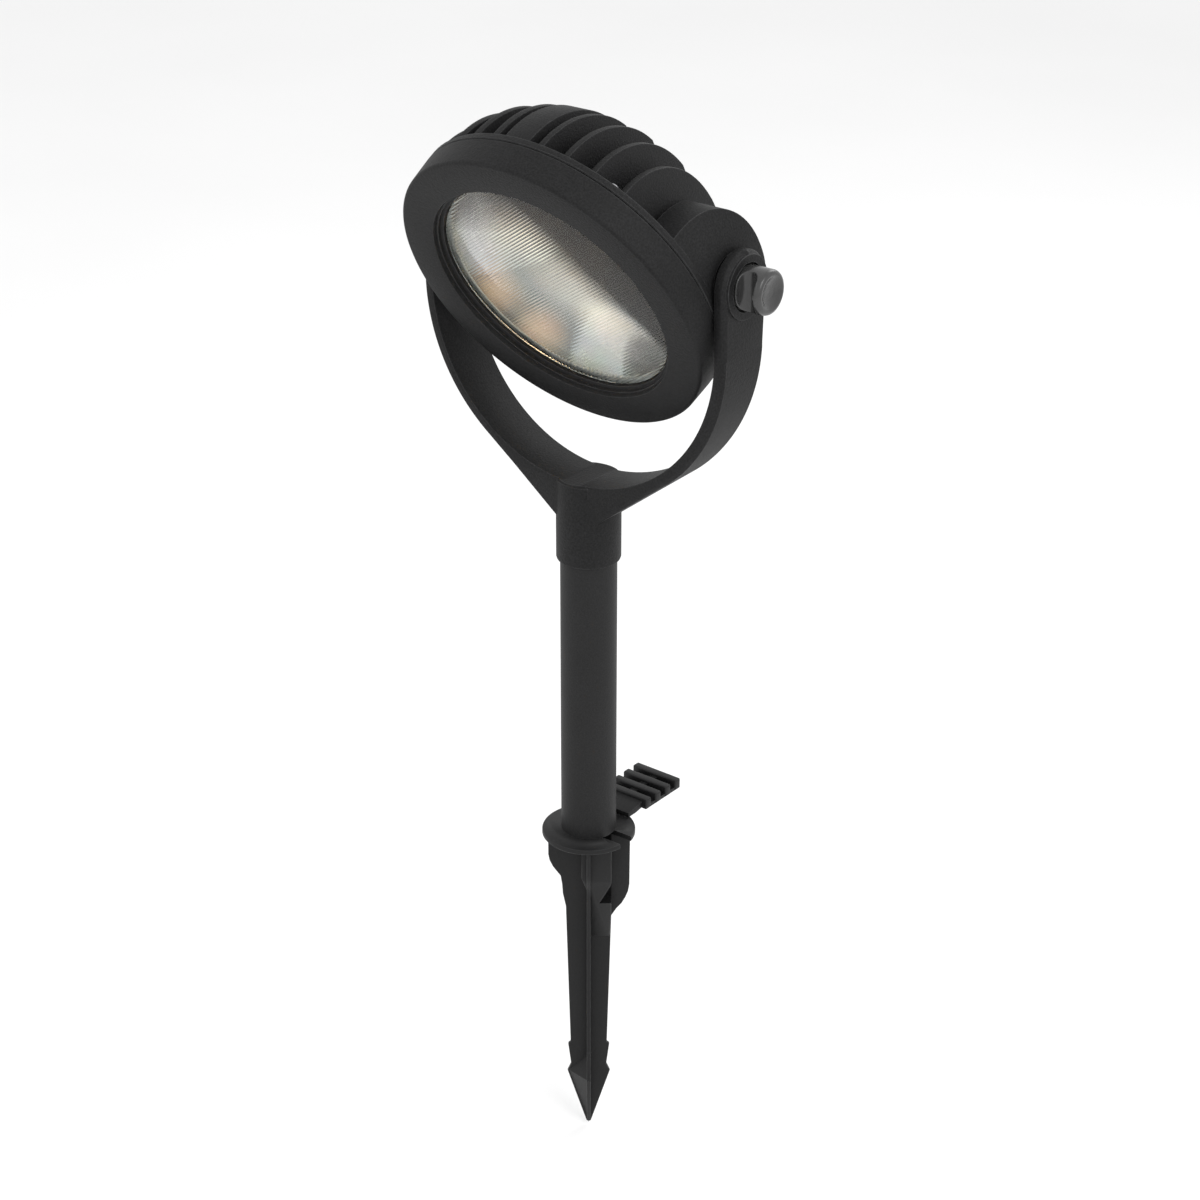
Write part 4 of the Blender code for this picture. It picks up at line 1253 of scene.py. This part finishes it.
class PROJECTOR_OT_ground_stake(bpy.types.Operator):
    """Model the moulded stake: flange, sleeve, crossed blades and barbed point"""

    bl_idname = "projector.ground_stake"
    bl_label = "Ground Stake"

    def execute(self, context):
        stake = context.scene.projector_stake
        depth = stake.depth
        top = 0.0005
        shoulder = [(0.0186, top), (0.0186, -0.0120), (0.0180, -0.0152), (0.0165, -0.0185), (0.0148, -0.0210)]
        shoulder += [(0.0130, -0.0235), (0.0123, -0.0280), (0.0120, -0.0330), (0.0106, -0.0400)]
        leg = [(0.0190, top), (0.0188, -0.0280), (0.0182, -0.0318), (0.0170, -0.0350), (0.0152, -0.0384)]
        leg += [(0.0130, -0.0410), (0.0105, -0.0450)]
        point = [(0.0086, -0.1160), (0.0098, -0.1170), (0.0084, -0.1285), (0.0101, -0.1325)]
        point.append((0.0010, 0.0014 - depth))
        left = [(-x, z) for x, z in reversed(shoulder + point)]
        spike = plate_along("barbed_stake", leg + point + left, 0.0, stake.blade)
        soften(spike, 0.0004)
        across = plate_along("across", shoulder + point + left, 0.0, stake.blade)
        soften(across, 0.0004)
        put(across, Matrix.Rotation(pi / 2, 4, "Z"))
        sleeve_line = [(-0.0032, 0.0011), (-0.0032, -0.0175), (-0.0026, -0.0192), (0.0004, -0.0284)]
        sleeve_line += [(0.0008, -0.0300), (0.0008, -0.0560), (0.0098, -0.0560), (0.0104, -0.0420), (0.0104, 0.0011)]
        sleeve = plate_along("sleeve", sleeve_line, 0.0, 0.0270)
        slope = [(-0.0135, 0.01), (0.0135, 0.01), (0.0135, -0.0185), (0.0130, -0.0200), (0.0012, -0.0570)]
        slope += [(-0.0012, -0.0570), (-0.0130, -0.0200), (-0.0135, -0.0185)]
        boolean(sleeve, [plate_across("slope", slope, 0.0, 0.060)], "INTERSECT")
        soften(sleeve, 0.0005)
        radius = stake.flange_radius
        flange = spun("flange", [
            (0.0, 0.0025), (radius - 0.0006, 0.0025), (radius - 0.0002, 0.0023), (radius, 0.0019),
            (radius, 0.0004), (radius - 0.0004, 0.0), (0.0, 0.0),
        ], 112, closed=False)
        tip = spun("tip", [
            (0.0, -depth), (0.0102, POINT_TOP), (0.0020, POINT_TOP + 0.0080), (0.0, POINT_TOP + 0.0080),
        ], 4, closed=False)
        spigot = rod("spigot", stake.tube_radius - stake.tube_wall - 0.0003, (0, 0, 0.001), (0, 0, 0.030), 56)
        boolean(spike, [across, flange, tip, spigot, sleeve], "UNION")
        slot_turn = radians(-36.0)
        slot_place = (0.0155 * cos(slot_turn), 0.0155 * sin(slot_turn), -0.0145)
        slot = block("slot", (0.0310, 0.0084, 0.0380), slot_place, slot_turn)
        bore = rod("bore", 0.0045, (0, 0, 0.0004), (0, 0, 0.0310), 40)
        boolean(spike, [slot, bore], "DIFFERENCE")
        put(spike, Matrix.Rotation(stake.turn, 4, "Z"))
        finish_piece(spike, "stake", "moulded_plastic", ["ground_spike"])
        return {"FINISHED"}


class PROJECTOR_OT_cable_comb(bpy.types.Operator):
    """Model the ladder-shaped cable comb: one bar, copied along a spine"""

    bl_idname = "projector.cable_comb"
    bl_label = "Cable Comb"

    def execute(self, context):
        near = 0.0290
        pitch = 0.0075
        level = 0.0058
        comb = block("cable_ladder", (0.0034, 3 * pitch, 0.0034), (0, near + 1.5 * pitch, level - 0.0008))
        first = block("bar", (0.0250, 0.0040, 0.0052), (0, near, level))
        soften(first, 0.0007, 3)
        floor = block("floor", (0.0240, 3 * pitch, 0.0016), (0, near + 1.5 * pitch, level - 0.0018))
        bars = [floor, first]
        for index in (1, 2, 3):
            twin = first.copy()
            twin.data = first.data.copy()
            context.scene.collection.objects.link(twin)
            put(twin, Matrix.Translation((0, index * pitch, 0)))
            bars.append(twin)
        neck = [(0.0170, 0.0028), (0.0225, 0.0028), (near, level - 0.0020)]
        neck += [(near, level + 0.0018), (0.0250, level + 0.0004), (0.0170, 0.0052)]
        tongue = plate_across("tongue", neck, 0.0, 0.0200)
        soften(tongue, 0.0005)
        boolean(comb, bars + [tongue], "UNION")
        finish_piece(comb, "stake", "moulded_plastic", ["cable_comb"])
        return {"FINISHED"}


class PROJECTOR_OT_inner_parts(bpy.types.Operator):
    """Give the parts that stay as built their finishes"""

    bl_idname = "projector.inner_parts"
    bl_label = "Inner Parts"

    def execute(self, context):
        finishes = {
            "bezel_seal": "seal_rubber",
            "gland_seal": "seal_rubber",
            "led_board": "white_board",
            "led_lamp": "warm_lamp",
            "driver_module": "moulded_plastic",
        }
        for node, finish in finishes.items():
            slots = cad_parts[node].material_slots
            for slot in slots:
                slot.material = bpy.data.materials[finish]
        return {"FINISHED"}


class PROJECTOR_OT_stage(bpy.types.Operator):
    """Set the floor, the soft studio light and the camera"""

    bl_idname = "projector.stage"
    bl_label = "Stage"

    def execute(self, context):
        context.scene.view_settings.view_transform = "Standard"
        self.add_floor()
        self.add_lights(context)
        self.add_camera(context)
        return {"FINISHED"}

    def add_floor(self):
        """A wide pale disc under the stake's point."""
        floor = rod("floor", 6.0, (0, 0, STAKE_LOW.z - 0.021), (0, 0, STAKE_LOW.z - 0.001), 96)
        tree, shader = new_finish("pale_floor")
        place = add_node(tree, "ShaderNodeTexCoord")
        cloud = add_node(tree, "ShaderNodeTexNoise")
        tone = add_node(tree, "ShaderNodeMix", data_type="RGBA")
        wire(tree, [
            (cloud, "Vector", place.outputs["Object"]),
            (cloud, "Scale", 3.0),
            (tone, "Factor", cloud.outputs["Fac"]),
            (tone, "A", (0.86, 0.86, 0.86, 1.0)),
            (tone, "B", (0.90, 0.90, 0.90, 1.0)),
            (shader, "Base Color", shown(tone.outputs, "Result")),
            (shader, "Roughness", 0.9),
            (shader, "Specular IOR Level", 0.1),
        ])
        floor.data.materials.append(bpy.data.materials["pale_floor"])

    def add_lights(self, context):
        """Soft boxes round the object, and a pale surround."""
        world = bpy.data.worlds.new("studio")
        world.use_nodes = True
        world.node_tree.nodes["Background"].inputs["Color"].default_value = (1.0, 1.0, 1.0, 1.0)
        world.node_tree.nodes["Background"].inputs["Strength"].default_value = 1.0
        context.scene.world = world
        boxes = [
            ("key_light", (1.05, -0.35, 1.05), 0.9, 7.0),
            ("fill_light", (-1.1, -0.9, 0.8), 1.2, 3.0),
            ("back_light", (0.1, 1.2, 1.0), 0.9, 4.5),
        ]
        for name, place, size, power in boxes:
            nothing_selected()
            bpy.ops.object.light_add(type="AREA", location=place)
            light = context.object
            light.name = name
            light.data.shape = "DISK"
            light.data.size = size
            light.data.energy = power
            aim = Vector((0, 0, 0.15)) - Vector(place)
            light.rotation_euler = aim.to_track_quat("-Z", "Y").to_euler()

    def add_camera(self, context):
        """The camera, level, looking down on the object from its front right."""
        azimuth = radians(38.22)
        elevation = radians(25.91)
        back = Vector((sin(azimuth) * cos(elevation), -cos(azimuth) * cos(elevation), sin(elevation)))
        nothing_selected()
        bpy.ops.object.camera_add(location=Vector((0, 0, 0.1176)) + back * 1.166)
        camera = context.object
        camera.rotation_euler = (-back).to_track_quat("-Z", "Y").to_euler()
        camera.data.sensor_width = 36.0
        camera.data.lens = 79.80
        camera.data.shift_x = 0.0094
        camera.data.clip_start = 0.01
        context.scene.camera = camera


PIECES = (
    PROJECTOR_OT_finishes,
    PROJECTOR_OT_front_bezel,
    PROJECTOR_OT_front_glass,
    PROJECTOR_OT_reflector,
    PROJECTOR_OT_finned_housing,
    PROJECTOR_OT_rim_screws,
    PROJECTOR_OT_cable_gland,
    PROJECTOR_OT_cast_yoke,
    PROJECTOR_OT_pivot_fittings,
    PROJECTOR_OT_hand_knob,
    PROJECTOR_OT_stem_tube,
    PROJECTOR_OT_ground_stake,
    PROJECTOR_OT_cable_comb,
    PROJECTOR_OT_inner_parts,
    PROJECTOR_OT_stage,
)


class PROJECTOR_PT_panel(bpy.types.Panel):
    """The pieces of the garden projector"""

    bl_idname = "PROJECTOR_PT_panel"
    bl_label = "Garden Projector"
    bl_space_type = "VIEW_3D"
    bl_region_type = "UI"
    bl_category = "Projector"

    def draw(self, context):
        for piece in PIECES:
            self.layout.operator(piece.bl_idname)


GROUPS = {
    "projector_head": ProjectorHeadSizes,
    "projector_yoke": ProjectorYokeSizes,
    "projector_knob": ProjectorKnobSizes,
    "projector_stake": ProjectorStakeSizes,
    "projector_colours": ProjectorColours,
}


def register():
    """Adds the sizes, pieces and panel."""
    for name, group in GROUPS.items():
        bpy.utils.register_class(group)
        setattr(bpy.types.Scene, name, PointerProperty(type=group))
    for piece in PIECES:
        bpy.utils.register_class(piece)
    bpy.utils.register_class(PROJECTOR_PT_panel)


def unregister():
    """Removes them again."""
    bpy.utils.unregister_class(PROJECTOR_PT_panel)
    for piece in reversed(PIECES):
        bpy.utils.unregister_class(piece)
    for name, group in reversed(GROUPS.items()):
        delattr(bpy.types.Scene, name)
        bpy.utils.unregister_class(group)


def main():
    """Makes every piece in order."""
    register()
    bpy.ops.projector.finishes()
    bpy.ops.projector.front_bezel()
    bpy.ops.projector.front_glass()
    bpy.ops.projector.reflector()
    bpy.ops.projector.finned_housing()
    bpy.ops.projector.rim_screws()
    bpy.ops.projector.cable_gland()
    bpy.ops.projector.cast_yoke()
    bpy.ops.projector.pivot_fittings()
    bpy.ops.projector.hand_knob()
    bpy.ops.projector.stem_tube()
    bpy.ops.projector.ground_stake()
    bpy.ops.projector.cable_comb()
    bpy.ops.projector.inner_parts()
    bpy.ops.projector.stage()


if __name__ == "__main__":
    main()
